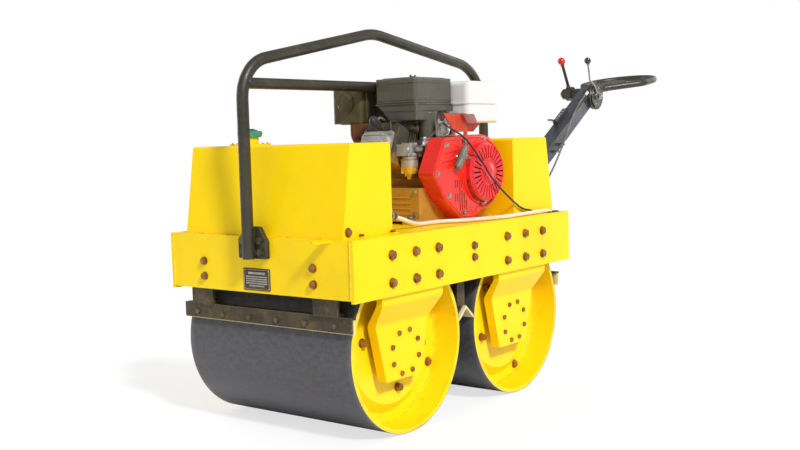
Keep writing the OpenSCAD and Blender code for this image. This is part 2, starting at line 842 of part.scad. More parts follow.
// Front view of an arm, narrower by the inset at its edges
module arm_outline(inset) polygon(rounded([[-arm_top_hw + inset, arm_top_z + inset],
    [-arm_top_hw + inset, bend_hi], [-arm_mid_hw + inset, bend_lo],
        [-arm_low_hw + inset, axle_z - arm_drop - inset],
    [arm_low_hw - inset, axle_z - arm_drop - inset], [arm_mid_hw - inset, bend_lo],
    [arm_top_hw - inset, bend_hi], [arm_top_hw - inset, arm_top_z + inset]],
    [0, arm_bend_r, arm_bend_r, arm_skin, arm_skin, arm_bend_r, arm_bend_r, 0]));
// Side view of an arm between two depths below its outer face
module arm_profile(out, up, low) {
    z1 = arm_top_z + 2 * over;
    z0 = axle_z - arm_drop - 2 * over;
    polygon(rounded([[side_in - out, z1], [side_in - out, bend_hi], [arm_face - out, bend_lo],
        [arm_face - out, z0],
        [arm_face - low, z0], [arm_face - low, bend_lo], [side_in - up, bend_hi], [side_in - up, z1]],
        [0, arm_bend_r, arm_bend_r, 0, 0, arm_bend_r, arm_bend_r, 0]));
}
module arm(s) color([1, 0.93, 0.08]) at_mid() difference() {
    intersection() {
        translate([s * axle_x + arm_shift, 0, 0]) along_y(arm_face - arm_flange - over, side_in + over)
            arm_outline(0);
        along_x(-body_hl, body_hl) arm_profile(0, flange_up, arm_flange);
    }
    intersection() {
        translate([s * axle_x + arm_shift, 0, 0]) along_y(arm_face - arm_flange - 2 * over, side_in)
            arm_outline(arm_skin);
        along_x(-body_hl, body_hl) arm_profile(arm_t, flange_up + over, arm_flange + over);
    }
    at_arm_bolts() hole_y(big_bolt, side_in - arm_flange, side_in + over);
    at_flange_bolts(s) hole_y(small_bolt, arm_back - over, arm_face + over);
}
module front_arm_left() arm(1);
module rear_arm_left() arm(-1);
module front_arm_right() mirror([0, 1, 0]) arm(1);
module rear_arm_right() mirror([0, 1, 0]) arm(-1);

module side_bolts() {
    translate([0, body_hw, 0]) {
        at_arm_bolts() bolt_y(big_bolt, plate_t + arm_t + nut_h, true);
        at_mid_bolts() bolt_y(mid_bolt, plate_t + sheet_t - over);
    }
    pair_x() for (z = bracket_row_lift) translate([face_x, bracket_bolt_y, side_low + z])
        rotate([0, 0, -90])
        bolt_y(mid_bolt, plate_t + seat_t + nut_h, true);
    at_handle_bolts() translate([-face_x - bracket_t, 0, 0]) rotate([0, 0, 90])
        bolt_y(mid_bolt, bracket_t + plate_t + nut_h, true);
}
module chassis_bolts_left() color([0.72, 0.6, 0.38]) at_mid() side_bolts();
module chassis_bolts_right() color([0.72, 0.6, 0.38]) at_mid() mirror([0, 1, 0]) side_bolts();

module flange_bolts() for (s = [-1, 1]) translate([0, arm_face, 0]) at_flange_bolts(s)
    bolt_y(small_bolt, arm_t + hub_t - over, false, false);
module flange_bolts_left() color([0.72, 0.6, 0.38]) at_mid() flange_bolts();
module flange_bolts_right() color([0.72, 0.6, 0.38]) at_mid() mirror([0, 1, 0]) flange_bolts();

// Hub of one drum end: flange bolted behind the arm, hollow spindle in the drum's bore
module hub(s) difference() {
    translate([s * axle_x, 0, 0]) {
        translate([0, 0, axle_z - flange_drop]) rod_y(hub_r, arm_back - hub_t, arm_back);
        translate([0, 0, axle_z]) rod_y(spindle_r, spindle_end, arm_back - over);
    }
    translate([s * axle_x, 0, axle_z]) rod_y(shaft_r + run_gap, spindle_end - over, arm_back - hub_t / 2);
    at_flange_bolts(s) hole_y(small_bolt, arm_back - hub_t - over, arm_back + over);
}
// Hydraulic motor on the outside of an arm
module motor(s) translate([s * axle_x, 0, axle_z - flange_drop]) {
    rod_y(motor_r, arm_face, arm_face + motor_l - motor_cap);
    rod_y(motor_r - motor_cap, arm_face + motor_l - motor_cap, arm_face + motor_l);
    for (k = [-1, 1]) translate([k * motor_r / 2, arm_face + motor_l / 2, 0])
        cylinder(r = port_r, h = motor_r + motor_cap);
}
module front_hub_left() color([0.9, 0.8, 0.1]) at_mid() hub(1);
module rear_hub_left() color([0.9, 0.8, 0.1]) at_mid() hub(-1);
module driven_hub(s) mirror([0, 1, 0]) {
    hub(s);
    motor(s);
}
module front_hub_right() color([0.3, 0.3, 0.3]) at_mid() driven_hub(1);
module rear_hub_right() color([0.3, 0.3, 0.3]) at_mid() driven_hub(-1);

// Half section of a drum: radius across, distance from the middle upwards
drum_half = [[axle_z, drum_w / 2], [axle_z - shell_t, drum_w / 2], [axle_z - shell_t, web_y],
    [dish_foot_r, web_y],
    [dish_r, dish_y], [spindle_r + run_gap, dish_y], [spindle_r + run_gap, boss_in], [boss_r, boss_in],
    [boss_r, dish_y - web_t], [dish_r - web_t / 2, dish_y - web_t],
        [dish_foot_r - web_t / 2, web_y - web_t],
    [axle_z - shell_t, web_y - web_t]];
module drum_section() polygon(concat(drum_half, [for (i = [len(drum_half) - 1 : -1 : 0]) [drum_half[i][0],
    -drum_half[i][1]]]));
module drum(turn) translate([0, 0, axle_z]) rotate([0, turn, 0]) difference() {
    rotate([90, 0, 0]) rotate_extrude($fn = 96) drum_section();
    pair_y() at_dish_bolts() rod_y(dish_bolt[0] + bolt_gap, dish_y - web_t - over, dish_y + over);
}
module at_dish_bolts() for (side = [-1, 1], s = [-1, 1]) let (a = dish_angle + s * pair_angle)
    translate(side * dish_bolt_pcr * [cos(a), 0, sin(a)]) children();
module dish_bolts(turn) translate([0, 0, axle_z]) rotate([0, turn, 0]) pair_y() at_dish_bolts()
    translate([0, dish_y, 0]) bolt_y(dish_bolt, web_t + nut_h, true);
module front_drum() color([0.25, 0.26, 0.3]) at_mid() translate([axle_x, 0, 0]) drum(0);
module rear_drum() color([0.25, 0.26, 0.3]) at_mid() translate([-axle_x, 0, 0]) drum(-rear_angle);
module front_dish_bolts() color([0.72, 0.6, 0.38]) at_mid() translate([axle_x, 0, 0]) dish_bolts(0);
module rear_dish_bolts() color([0.72, 0.6, 0.38]) at_mid() translate([-axle_x, 0, 0])
    dish_bolts(-rear_angle);

module exciter() translate([0, 0, axle_z]) {
    rod_y(shaft_r, -arm_back + hub_t - over, arm_back - hub_t + over);
    pair_y() difference() {
        rod_y(weight_r, weight_in, weight_in + weight_t);
        block(-weight_r, weight_r, 0, weight_in + weight_t + over, shaft_r, weight_r);
    }
}
module front_exciter() color([0.5, 0.5, 0.52]) at_mid() translate([axle_x, 0, 0]) exciter();
module rear_exciter() color([0.5, 0.5, 0.52]) at_mid() translate([-axle_x, 0, 0]) exciter();

// Angle beam in front of a drum, with the two brackets that hang it from the end plate
module beam_end() difference() {
    union() {
        block(beam_x - leg_t, beam_x, -beam_hw, beam_hw, blade_z + beam_short, beam_top);
        block(blade_x - seat_back, beam_x, -beam_hw, beam_hw, beam_top - leg_t, beam_top);
        pair_y() {
            block(blade_x - seat_back, end_in, bracket_in, bracket_in + bracket_w, beam_top,
                beam_top + seat_t);
            block(end_in - seat_t, end_in, bracket_in, bracket_in + bracket_w, beam_top + seat_t - over,
                side_low + bracket_rise);
        }
    }
    at_beam_bolts() rod_x(small_bolt[0] + bolt_gap, blade_x - over, beam_x + over);
    at_bracket_bolts() rod_x(mid_bolt[0] + bolt_gap, end_in - seat_t - over, end_in + over);
}
module at_beam_bolts() for (k = [0 : beam_bolts - 1])
    translate([0, (k - (beam_bolts - 1) / 2) * beam_bolt_pitch, blade_z + beam_bolt_rise]) children();
// Inverted angle outline between two depths below its ridge, ending at the foot
module ridge(d0, d1, short) {
    s = (apex_z - foot_z) / foot_x;
    polygon([[0, apex_z + d0], [foot_x - short, apex_z + d0 - (foot_x - short) * s],
             [foot_x - short, apex_z + d1 - (foot_x - short) * s], [0, apex_z + d1],
             [-foot_x + short, apex_z + d1 - (foot_x - short) * s],
                 [-foot_x + short, apex_z + d0 - (foot_x - short) * s]]);
}
module scraper_beams() color([0.22, 0.2, 0.14]) at_mid() {
    pair_x() beam_end();
    along_y(-drum_w / 2 + blade_h / 4, drum_w / 2 - blade_h / 4) ridge(leg_t * 3 / 2, 0, blade_t);
    pair_y() difference() {
        block(arm_shift - hanger_hw, arm_shift + hanger_hw, hanger_y, hanger_y + hanger_t, apex_z,
            deck_z - cross_h);
        along_y(0, drum_w) ridge(leg_t * 3 / 2 - over / 2, -blade_h, 0);
    }
}
module scraper_blades() color([0.95, 0.88, 0.66]) at_mid() {
    pair_x() difference() {
        block(blade_x, blade_x + blade_t, -beam_hw - beam_short, beam_hw + beam_short, blade_z,
            beam_top - leg_t);
        at_beam_bolts() rod_x(small_bolt[0] + bolt_gap, blade_x - over, beam_x + over);
    }
    along_y(-drum_w / 2, drum_w / 2) ridge(0, -blade_t * 4 / 3, 0);
}
module scraper_bolts() color([0.72, 0.6, 0.38]) at_mid() pair_x() at_beam_bolts()
    translate([beam_x, 0, 0]) rotate([0, 0, -90]) bolt_y(small_bolt, leg_t + blade_t, false, false);

module sprinkler_pipes() color([0.3, 0.3, 0.28]) at_mid() pair_x()
    translate([axle_x + pipe_out, 0, deck_z - plate_t - pipe_drop]) {
    rod_y(pipe_r, -drum_w / 2 + clip_w, drum_w / 2 - clip_w);
    for (y = [-clip_y, clip_y]) block(-clip_w / 2, clip_w / 2, y - clip_t / 2, y + clip_t / 2,
        pipe_r - clip_t / 2, pipe_drop);
}

// Outline shrunk by d, its points counter-clockwise
function inset(p, d) = [for (i = [0 : len(p) - 1]) let (
    a = p[(i + len(p) - 1) % len(p)], b = p[i], c = p[(i + 1) % len(p)],
    n = unit([a[1] - b[1], b[0] - a[0]]), m = unit([b[1] - c[1], c[0] - b[0]]))
        b + d * (n + m) / (1 + n * m)];
function box_points(x, y) = [[x[0], y[0]], [x[1], y[0]], [x[1], y[1]], [x[0], y[1]]];
function shrunk(v, d) = [v[0] + d, v[1] - d];
// Pair of heights above the deck
function lifted(v) = [deck_z + v[0], deck_z + v[1]];
// Upright block with rounded corners
module pillar(x, y, z, r) translate([0, 0, z[0]]) linear_extrude(z[1] - z[0])
    polygon(r == 0 ? box_points(x, y) : rounded(box_points(x, y), r));
// Block with every edge rounded
module soft_box(x, y, z, r) intersection() {
    along_y(y[0], y[1]) polygon(rounded(box_points(x, z), r / 2, 3));
    along_x(x[0], x[1]) polygon(rounded(box_points(y, z), r / 2, 3));
    pillar(x, y, z, r);
}
module at_crank(y = 0) translate([crank_x, y, crank_z]) children();
// Frame of the cylinder: Z runs along it away from the crankshaft, -X is its upper side
module at_cylinder() at_crank(cyl_y) rotate([0, 90 - cyl_lean, 0]) children();

module engine_case(d) {
    at_crank() rod_y(case_r - d, case_right + d, case_left - d);
    block(crank_x + sump_back + d, crank_x + sump_front - d, case_right + d, case_left - d,
          deck_z + engine_foot_h + d, deck_z + sump_h - d);
}
module engine_block() color([0.3, 0.3, 0.28]) at_mid() difference() {
    union() {
        engine_case(0);
        for (y = [case_right, case_left - engine_foot_w])
            block(crank_x + sump_back - engine_foot_over, crank_x + sump_front + engine_foot_over,
                  y, y + engine_foot_w, deck_z, deck_z + engine_foot_h + case_wall);
        at_cylinder() {
            cylinder(r = barrel_r, h = head_to);
            for (k = [0 : fin_count - 1]) translate([0, 0,
                fin_from + k * (fin_to - fin_from) / (fin_count - 1)])
                pillar([-fin_hh, fin_hh], [-fin_hw, fin_hw], [0, fin_t], 0);
            pillar([-fin_hh, fin_hh], [-fin_hw, fin_hw], [fin_to + fin_gap, head_to], head_round);
            translate([-plug_rise, 0, head_to - over]) cylinder(r = plug_r, h = plug_l);
            translate([-plug_rise, 0, head_to + plug_l / 2]) cylinder(r = plug_cap_r, h = plug_l / 2);
        }
        translate([crank_x + coil[0], coil_y, crank_z + case_r - coil[2] / 2]) cube(coil);
    }
    engine_case(case_wall);
    at_crank() rod_y(crank_r + run_gap, case_right - over, case_left + over);
}

module head_cover() color([0.82, 0.82, 0.8]) at_mid() at_cylinder() {
    x = [-cover_rise, cover_fall];
    y = [-cover_hw, cover_hw];
    pillar(x, y, [head_to, head_to + cover_lip], head_round);
    pillar(shrunk(x, cover_step), shrunk(y, cover_step), [head_to, head_to + cover_t], 2 * head_round);
    for (a = shrunk(x, cover_step / 2), b = shrunk(y, cover_step / 2))
        translate([a, b, head_to]) cylinder(r = small_bolt[1] - washer_t, h = cover_lip + small_bolt[2],
            $fn = 6);
}

// Round part of the shroud and the wing beside it, shrunk by d
module shroud_outline(d) translate([crank_x, crank_z]) {
    circle(shroud_r - d);
    polygon(rounded(inset(shroud_points, d), shroud_round));
}
module fan_shroud() color([0.9, 0.12, 0.1]) at_mid() difference() {
    union() {
        along_y(shroud_back, shroud_face) shroud_outline(0);
        along_y(shroud_face - over, shroud_face + sheet_t) translate([crank_x, crank_z])
            circle(shroud_hole_r + 2 * rim_w);
    }
    along_y(shroud_back - over, shroud_face - sheet_t) shroud_outline(sheet_t);
    at_crank() translate([grip_x, 0, grip_z]) rod_y(rope_r + rope_gap, shroud_face - 2 * sheet_t,
        shroud_face + over);
    at_crank() rod_y(shroud_hole_r, shroud_face - 2 * sheet_t, shroud_face + 2 * sheet_t);
    for (row = louvre_rows, x = [louvre_from : louvre_pitch : louvre_to], z = [row[0]])
        if (norm([x, row[1]]) > shroud_hole_r + 3 * rim_w)
            at_crank() block(x, x + louvre_w, shroud_face - 2 * sheet_t, shroud_face + over, row[0],
                row[1]);
}

module recoil_cover() color([0.95, 0.1, 0.12]) at_mid() at_crank(shroud_face + sheet_t)
    rotate([-90, 0, 0]) {
    difference() {
        rotate_extrude() polygon([[0, recoil_t], [recoil_r - recoil_round, recoil_t],
            [recoil_r - recoil_round / 3, recoil_t - recoil_round / 3],
                [recoil_r, recoil_t - recoil_round], [recoil_r, 0],
            [recoil_r - recoil_wall, 0], [recoil_r - recoil_wall, recoil_t - recoil_round],
            [recoil_r - recoil_round, recoil_t - recoil_wall], [0, recoil_t - recoil_wall]]);
        for (k = [0 : slot_count - 1]) rotate([0, 0, k * 360 / slot_count])
            translate([slot_in, -slot_w / 2, 0]) cube([slot_out - slot_in, slot_w, recoil_t + over]);
    }
    cylinder(r = recoil_boss_r, h = recoil_t + recoil_boss_t);
}

// Crankshaft with the flywheel and fan at one end and the drive pulley at the other
module flywheel() color([0.45, 0.45, 0.47]) at_mid() at_crank() {
    rod_y(crank_r, crank_right, flywheel_y + flywheel_t);
    rod_y(flywheel_r, flywheel_y, flywheel_y + flywheel_t);
    for (k = [0 : fan_blades - 1]) rotate([0, k * 360 / fan_blades, 0])
        block(flywheel_r / 2, fan_r, flywheel_y + flywheel_t - over, flywheel_y + fan_t, -blade_w / 2,
            blade_w / 2);
    grooved(drive_pulley_r);
}
// Pulley with one groove for the belt
module grooved(r) {
    rod_y(r - groove_depth, pulley_y, pulley_y + pulley_w);
    for (y = [pulley_y, pulley_y + pulley_w - pulley_lip]) rod_y(r, y, y + pulley_lip);
}

module starter_grip() color([0.16, 0.16, 0.16]) at_mid() at_crank() translate([grip_x, 0, grip_z]) {
    rod_y(rope_r, shroud_back + grip_out, shroud_face + grip_out);
    translate([0, shroud_face + grip_out, 0]) rotate([0, -grip_angle, 0]) {
        translate([0, 0, grip_r - grip_l / 2]) cylinder(r = grip_r, h = grip_l - 2 * grip_r);
        for (s = [-1, 1]) translate([0, 0, s * (grip_l / 2 - grip_r)]) sphere(grip_r);
    }
}

module muffler() color([0.16, 0.16, 0.13]) at_mid() difference() {
    union() {
        soft_box(muffler_x, muffler_y, lifted(muffler_z), muffler_round);
        translate([0, muffler_disc_y, deck_z + muffler_disc_z])
            rod_x(muffler_disc_r, muffler_x[1] - over, muffler_x[1] + muffler_disc_t);
        translate([0, muffler_disc_y, deck_z + muffler_disc_z])
            rod_x(outlet_r, muffler_x[0] - outlet_l, muffler_x[0] + over);
    }
    soft_box(shrunk(muffler_x, muffler_wall), shrunk(muffler_y, muffler_wall),
             lifted(shrunk(muffler_z, muffler_wall)), muffler_round);
    translate([0, muffler_disc_y, deck_z + muffler_disc_z])
        rod_x(outlet_r - muffler_wall, muffler_x[0] - outlet_l - over, muffler_x[0] + 2 * muffler_wall);
    translate([exhaust_x, exhaust_y, deck_z + muffler_z[0] - over])
        cylinder(r = exhaust_r - exhaust_wall, h = 2 * muffler_wall);
}

// Run of the exhaust from the head, round a bend and up into the muffler
module exhaust_run(r, more) translate([exhaust_x, 0, 0]) rotate([0, 0, 90])
    bent([[cyl_y - fin_hw + more, deck_z + exhaust_z], [exhaust_y, deck_z + exhaust_z],
          [exhaust_y, deck_z + muffler_z[0] + more]], [exhaust_bend], r);
module exhaust_pipe() color([0.42, 0.26, 0.14]) at_mid() difference() {
    exhaust_run(exhaust_r, 0);
    exhaust_run(exhaust_r - exhaust_wall, over);
}

// Tray of the air cleaner over the carburettor and its shallow part behind, shrunk by d
module tray(d) {
    along_x(tray_x + d, lid_x[1] - d) polygon(inset([for (q = tray_section) q + [0, deck_z]], d));
    along_x(lid_x[0] + d, tray_x + 2 * d) polygon(inset(box_points([lid_y[0] + tray_side, lid_y[1]],
        lifted([tray_shallow, lid_z[0]])), d));
}
module air_box() color([0.17, 0.17, 0.15]) at_mid() difference() {
    union() {
        tray(0);
        translate([neck_x, neck_y, deck_z + elbow_low]) cylinder(r = elbow_r, h = elbow_top - elbow_low);
        translate([filter_x, filter_y, 0]) {
            translate([0, 0, deck_z + lid_z[0] - over]) cylinder(r = filter_r[1], h = filter_h);
            cylinder_at = deck_z + lid_z[0] + filter_h - 2 * over;
            translate([0, 0, cylinder_at]) cylinder(r = stud_r,
                h = deck_z + lid_z[1] - lid_wall - soft_gap - cylinder_at);
        }
    }
    tray(tray_wall);
    translate([neck_x, neck_y, deck_z + elbow_low - over])
        cylinder(r = elbow_r - elbow_wall, h = elbow_top - elbow_low + over - tray_wall);
    translate([filter_x, filter_y, deck_z + lid_z[0] - 2 * tray_wall])
        cylinder(r = filter_r[0], h = filter_h);
}
module air_lid() color([0.2, 0.2, 0.18]) at_mid() {
    difference() {
        soft_box(lid_x, lid_y, lifted(lid_z), lid_round);
        soft_box(shrunk(lid_x, lid_wall), shrunk(lid_y, lid_wall),
                 lifted([lid_z[0] - lid_round, lid_z[1] - lid_wall]), lid_round);
        block(lid_x[0] - over, lid_x[1] + over, lid_y[0] - over, lid_y[1] + over,
              deck_z + lid_z[0] - lid_round, deck_z + lid_z[0] + soft_gap);
    }
    translate([filter_x, filter_y, deck_z + lid_z[1] - over]) {
        cylinder(r = wing_r, h = wing_h + over);
        for (s = [-1, 1]) rotate([0, s * wing_angle, 0])
            block(s > 0 ? 0 : -wing_w / 2, s > 0 ? wing_w / 2 : 0,
            -wing_t / 2, wing_t / 2, over, wing_h + over);
    }
}

module carburettor() color([0.62, 0.62, 0.6]) at_mid() {
    pillar(carb_x, carb_y, lifted(carb_z), wing_t);
    pillar([carb_x[1] - over, manifold_x], [carb_y[0], carb_y[1] - clip_t], lifted(shrunk(carb_z, wing_t)),
        0);
    translate([neck_x, neck_y, 0]) {
        pillar_z = lifted([carb_z[1] - over, elbow_low]);
        translate([0, 0, pillar_z[0]]) cylinder(r = elbow_r - elbow_wall,
            h = pillar_z[1] - pillar_z[0] - wing_t);
        translate([0, 0, pillar_z[1] - wing_t]) cylinder(r = elbow_r, h = wing_t);
    }
    translate([bowl_x, bowl_y, deck_z + bowl_z[1]])
        cylinder(r = bowl_neck_r, h = carb_z[0] - bowl_z[1] + over);
    for (x = [carb_x[0] / 2, 0]) translate([x, 0, deck_z + (carb_z[0] + carb_z[1]) / 2])
        rod_y(carb_screw_r, carb_y[1] - over, carb_y[1] + carb_screw_l);
}
module float_bowl() color([0.78, 0.62, 0.3]) at_mid() translate([bowl_x, bowl_y, deck_z]) {
    translate([0, 0, bowl_z[0]]) cylinder(r = bowl_r, h = bowl_z[1] - bowl_z[0]);
    translate([0, 0, bowl_z[0] - bowl_foot_h]) cylinder(r = bowl_foot_r, h = bowl_foot_h + over);
    translate([0, 0, bowl_z[0] - 2 * bowl_foot_h])
        cylinder(r = bowl_foot_r / 2, h = 2 * bowl_foot_h, $fn = 6);
}

// Fuel tank with a stepped floor, shrunk by d
module fuel_body(d) intersection() {
    along_y(fuel_y[0] + d, fuel_y[1] - d) polygon(rounded(inset([[fuel_x[0], deck_z + fuel_z[0]],
        [fuel_step_x[0], deck_z + fuel_z[0]], [fuel_step_x[1], deck_z + fuel_z[0] + fuel_step],
        [fuel_x[1], deck_z + fuel_z[0] + fuel_step], [fuel_x[1], deck_z + fuel_z[1]],
        [fuel_x[0], deck_z + fuel_z[1]]], d), fuel_edge_r));
    along_x(fuel_x[0] + d, fuel_x[1] - d) polygon(rounded(box_points(shrunk(fuel_y, d),
        shrunk(lifted(fuel_z), d)), fuel_side_r));
    pillar(shrunk(fuel_x, d), shrunk(fuel_y, d), lifted(fuel_z), fuel_round);
}
module fuel_tank() color([0.97, 0.97, 0.95]) at_mid() difference() {
    union() {
        fuel_body(0);
        pillar(shrunk(fuel_x, -fuel_seam_over), shrunk(fuel_y, -fuel_seam_over),
               lifted([fuel_seam, fuel_seam + fuel_seam_t]), fuel_round + fuel_seam_over);
        translate([fuel_fill_x, fuel_fill_y, deck_z + fuel_z[1] - fuel_wall])
            cylinder(r = fuel_neck_r, h = fuel_wall + fuel_neck_h);
    }
    fuel_body(fuel_wall);
    translate([fuel_fill_x, fuel_fill_y, deck_z + fuel_z[1] - 2 * fuel_wall])
        cylinder(r = fuel_neck_r - fuel_wall, h = 3 * fuel_wall + fuel_neck_h);
}
module fuel_cap() color([0.13, 0.13, 0.13]) at_mid()
    translate([fuel_fill_x, fuel_fill_y, deck_z + fuel_z[1] + fuel_cap_gap])
    rotate_extrude() polygon([[0, fuel_neck_h], [fuel_neck_r + soft_gap, fuel_neck_h],
        [fuel_neck_r + soft_gap, 0],
        [fuel_cap_r - over, 0], [fuel_cap_r, over], [fuel_cap_r, fuel_cap_h - fuel_cap_edge],
        [fuel_cap_r - fuel_cap_edge, fuel_cap_h], [0, fuel_cap_h]]);

// Stays that carry the fuel tank on the engine case
module tank_stays() color([0.85, 0.3, 0.16]) at_mid() {
    low = deck_z + stay_leg_z;
    top = deck_z + fuel_z[0];
    along_y(stay_y[1], stay_y[1] + stay_t) polygon([for (q = stay_points) q + [0, deck_z]]);
    block(stay_leg_x[0], stay_leg_x[1] + stay_w, stay_y[0], stay_y[1] + over, top - stay_t, top);
    difference() {
        for (x = stay_leg_x, y = stay_y) block(x, x + stay_w, y, y + stay_t, low, top);
        at_crank() rod_y(case_r + soft_gap, stay_y[0] - over, stay_y[1] + stay_t + over);
    }
}

// Plate that carries the governor levers, standing on the shroud
module governor_plate() color([0.66, 0.64, 0.6]) at_mid() {
    block(plate_x[0], plate_x[1], plate_y[0], plate_y[1], deck_z + plate_z[0], deck_z + plate_z[1]);
    block(plate_x[0], plate_x[1], plate_y[0], plate_foot_y, deck_z + plate_z[0],
        deck_z + plate_z[0] + plate_foot_t);
    for (x = plate_x) translate([x + (x < plate_x[1] ? lever_w : -lever_w), 0,
        deck_z + plate_z[1] - lever_w]) {
        rod_y(lever_w / 2, plate_y[0], plate_y[1] + lever_w);
        rotate([0, lever_angle, 0]) block(-lever_w / 2, lever_w / 2, plate_y[1] - over / 2,
            plate_y[1] + plate_foot_t, -lever_len / 2, lever_len / 4);
    }
}

// Hydraulic pump on its stand, turned by a belt from the crankshaft
module pump() color([0.5, 0.5, 0.48]) at_mid() translate([pump_x, 0, deck_z + pump_z]) difference() {
    union() {
        rod_y(pump_r, pump_right, pump_right + pump_l);
        rod_y(pump_boss_r, pump_right + pump_l - over, pump_right + pump_l + pump_boss_l);
        block(-pump_foot_hw, pump_foot_hw, pump_right + pump_boss_l, pump_right + pump_l - pump_boss_l,
            -pump_z, 0);
        for (k = [1, 3]) translate([0, pump_right + k * pump_l / 4, 0])
            cylinder(r = pump_port_r, h = pump_r + pump_port_l);
    }
    rod_y(pump_shaft_r + run_gap, pump_right + pump_l / 2, pump_right + pump_l + pump_boss_l + over);
}
module pump_pulley() color([0.4, 0.4, 0.42]) at_mid() translate([pump_x, 0, deck_z + pump_z]) {
    rod_y(pump_shaft_r, pump_right + pump_l / 2 + over, pulley_y + over);
    grooved(pump_pulley_r);
}
// Band round both pulleys, each radius less d
module belt_outline(d) {
    a = [crank_x, crank_z];
    b = [pump_x, deck_z + pump_z];
    r = [drive_pulley_r - d, pump_pulley_r - d];
    turn = atan2(b[1] - a[1], b[0] - a[0]);
    lean = acos((r[0] - r[1]) / norm(b - a));
    translate(a) circle(r[0]);
    translate(b) circle(r[1]);
    polygon([for (q = [[a, r[0], -1], [b, r[1], -1], [b, r[1], 1], [a, r[0], 1]])
        q[0] + q[1] * [cos(turn + q[2] * lean), sin(turn + q[2] * lean)]]);
}
module drive_belt() color([0.1, 0.1, 0.1]) at_mid() difference() {
    along_y(pulley_y + pulley_lip + belt_side_gap, pulley_y + pulley_w - pulley_lip - belt_side_gap)
        belt_outline(groove_depth - belt_gap - belt_t);
    along_y(pulley_y, pulley_y + pulley_w) belt_outline(groove_depth - belt_gap);
}

module white_hose() color([0.95, 0.9, 0.85]) at_mid() tube(refined(white_route, 3), white_r, 10, [0, 0, 1]);
module engine_cable() color([0.1, 0.1, 0.1]) at_mid() tube(refined(cable_route, 2), cable_r, 8, [0, 1, 0]);
module throttle_cable() color([0.6, 0.6, 0.58]) at_mid()
    tube(refined(throttle_route, 3), throttle_r, 8, [0, 1, 0]);
module spark_lead() color([0.75, 0.72, 0.66]) at_mid() tube(refined(lead_route, 3), lead_r, 8, [0, 0, 1]);

// Bracket on the rear plate: two cheeks round the handle's pivot and a cap under the lift bar's foot
module handle_bracket() color([0.2, 0.2, 0.18]) at_mid() difference() {
    union() {
        block(-face_x - bracket_t, -face_x, -bracket_hw, bracket_hw, side_low + bracket_low, deck_z);
        block(pivot_x + cap_plate_in, -face_x - over, -bracket_hw + cap_inset, bracket_hw - cap_inset,
            deck_z - cap_plate_t, deck_z);
        pair_y() along_y(cheek_out - cheek_t, cheek_out)
            polygon([for (q = cheek_points) [pivot_x - q[0], side_low + bracket_low + q[1]]]);
    }
    translate([pivot_x, 0, pivot_z]) rod_y(pin_d / 2, -bracket_hw, bracket_hw);
    at_rear_foot_bolts() translate([0, 0, deck_z - cap_plate_t + over / 2])
        cylinder(r = small_bolt[0] + bolt_gap, h = cap_plate_t + over);
    for (s = [-1, 1], z = bracket_rows) translate([0, s * bracket_bolt_out, side_low + z])
        rod_x(mid_bolt[0] + bolt_gap, -face_x - bracket_t - over, -face_x + over);
}
module handle_pin() color([0.6, 0.6, 0.58]) at_mid() translate([pivot_x, 0, pivot_z]) {
    rod_y(pin_d / 2, -cheek_out - pin_over, cheek_out);
    rod_y(pin_head_r, cheek_out, cheek_out + pin_head_t);
    rod_y(pin_head_r, -cheek_out - pin_head_t / 2, -cheek_out);
}

// Frame of the handle: -X runs along it from the pivot, Z stands square off its upper face
module on_tiller() translate([pivot_x, 0, pivot_z]) rotate([0, arm_angle, 0]) children();
module handle_arm() color([0.2, 0.2, 0.2]) at_mid() on_tiller() {
    difference() {
        union() {
            difference() {
                block(-tiller_l, tiller_tail, -tiller_w / 2, tiller_w / 2, -tiller_h / 2, tiller_h / 2);
                block(-tiller_l - over, tiller_tail + over, -tiller_w / 2 + tiller_wall,
                    tiller_w / 2 - tiller_wall,
                      -tiller_h / 2 + tiller_wall, tiller_h / 2 - tiller_wall);
            }
            rod_y(bush_r, -tiller_w / 2 + over, tiller_w / 2 - over);
        }
        rod_y(pin_d / 2 + run_gap, -tiller_w, tiller_w);
    }
    block(-strip_at[1], -strip_at[0], strip_y[0], strip_y[1], tiller_h / 2, tiller_h / 2 + strip_h);
    translate([-strip_at[0] - strip_h, 0, tiller_h / 2 + over])
        rotate([0, -atan2(tongue_rise, tongue_run), 0])
        block(0, norm([tongue_run, tongue_rise]), strip_y[0] + over, strip_y[1] - over, 0, tongue_t);
}

// Frame of the hand ring: -X runs back along it, its plane is level in Y
module on_ring() translate([end_x, 0, end_z]) rotate([0, ring_rise, 0]) children();
module hand_ring() color([0.2, 0.2, 0.18]) at_mid() on_ring() {
    r = ring_tube / 2;
    pair_y() {
        rotate([90, 0, 0]) bent([[-ring_start, ring_root], [-ring_bend, ring_hw], [-ring_run, ring_hw]],
            [ring_corner], r);
        translate([0, ring_hw, 0]) rod_x(r + collar, -ring_run - over / 2, -ring_run + over / 2);
    }
    translate([-ring_run, 0, 0]) rotate([0, 0, 90]) rotate_extrude(angle = 180) translate([ring_hw, 0])
        circle(r);
    block(-stem_l, -stem_in, -stem_hw, stem_hw, -stem_t / 2, stem_t / 2);
    root_hw = tiller_w / 2 - tiller_wall - soft_gap;
    block(-stem_in - over, ring_root, -root_hw, root_hw, -stem_t / 2, stem_t / 2);
}

module control_head() color([0.17, 0.17, 0.15]) at_mid() on_tiller() {
    side = tiller_w / 2;
    translate([-cross_at, 0, 0]) rod_y(cross_r, -side - cross_out, -side);
    translate([-disc_at, 0, 0]) {
        rod_y(disc_r, side, side + disc_t - disc_step);
        rod_y(disc_r - disc_step, side + disc_t - disc_step - over, side + disc_t);
        rod_y(throttle_pin_r, side + disc_t - over, side + disc_t + throttle_pin_l);
        rotate([0, -arm_angle, 0]) {
            block(disc_r / 2, disc_r + tab_l, side + over, side + tab_t, 0, tab_w);
            block(disc_r + tab_l - tab_t, disc_r + tab_l, side + over, side + tab_out, 0, tab_w);
        }
    }
}

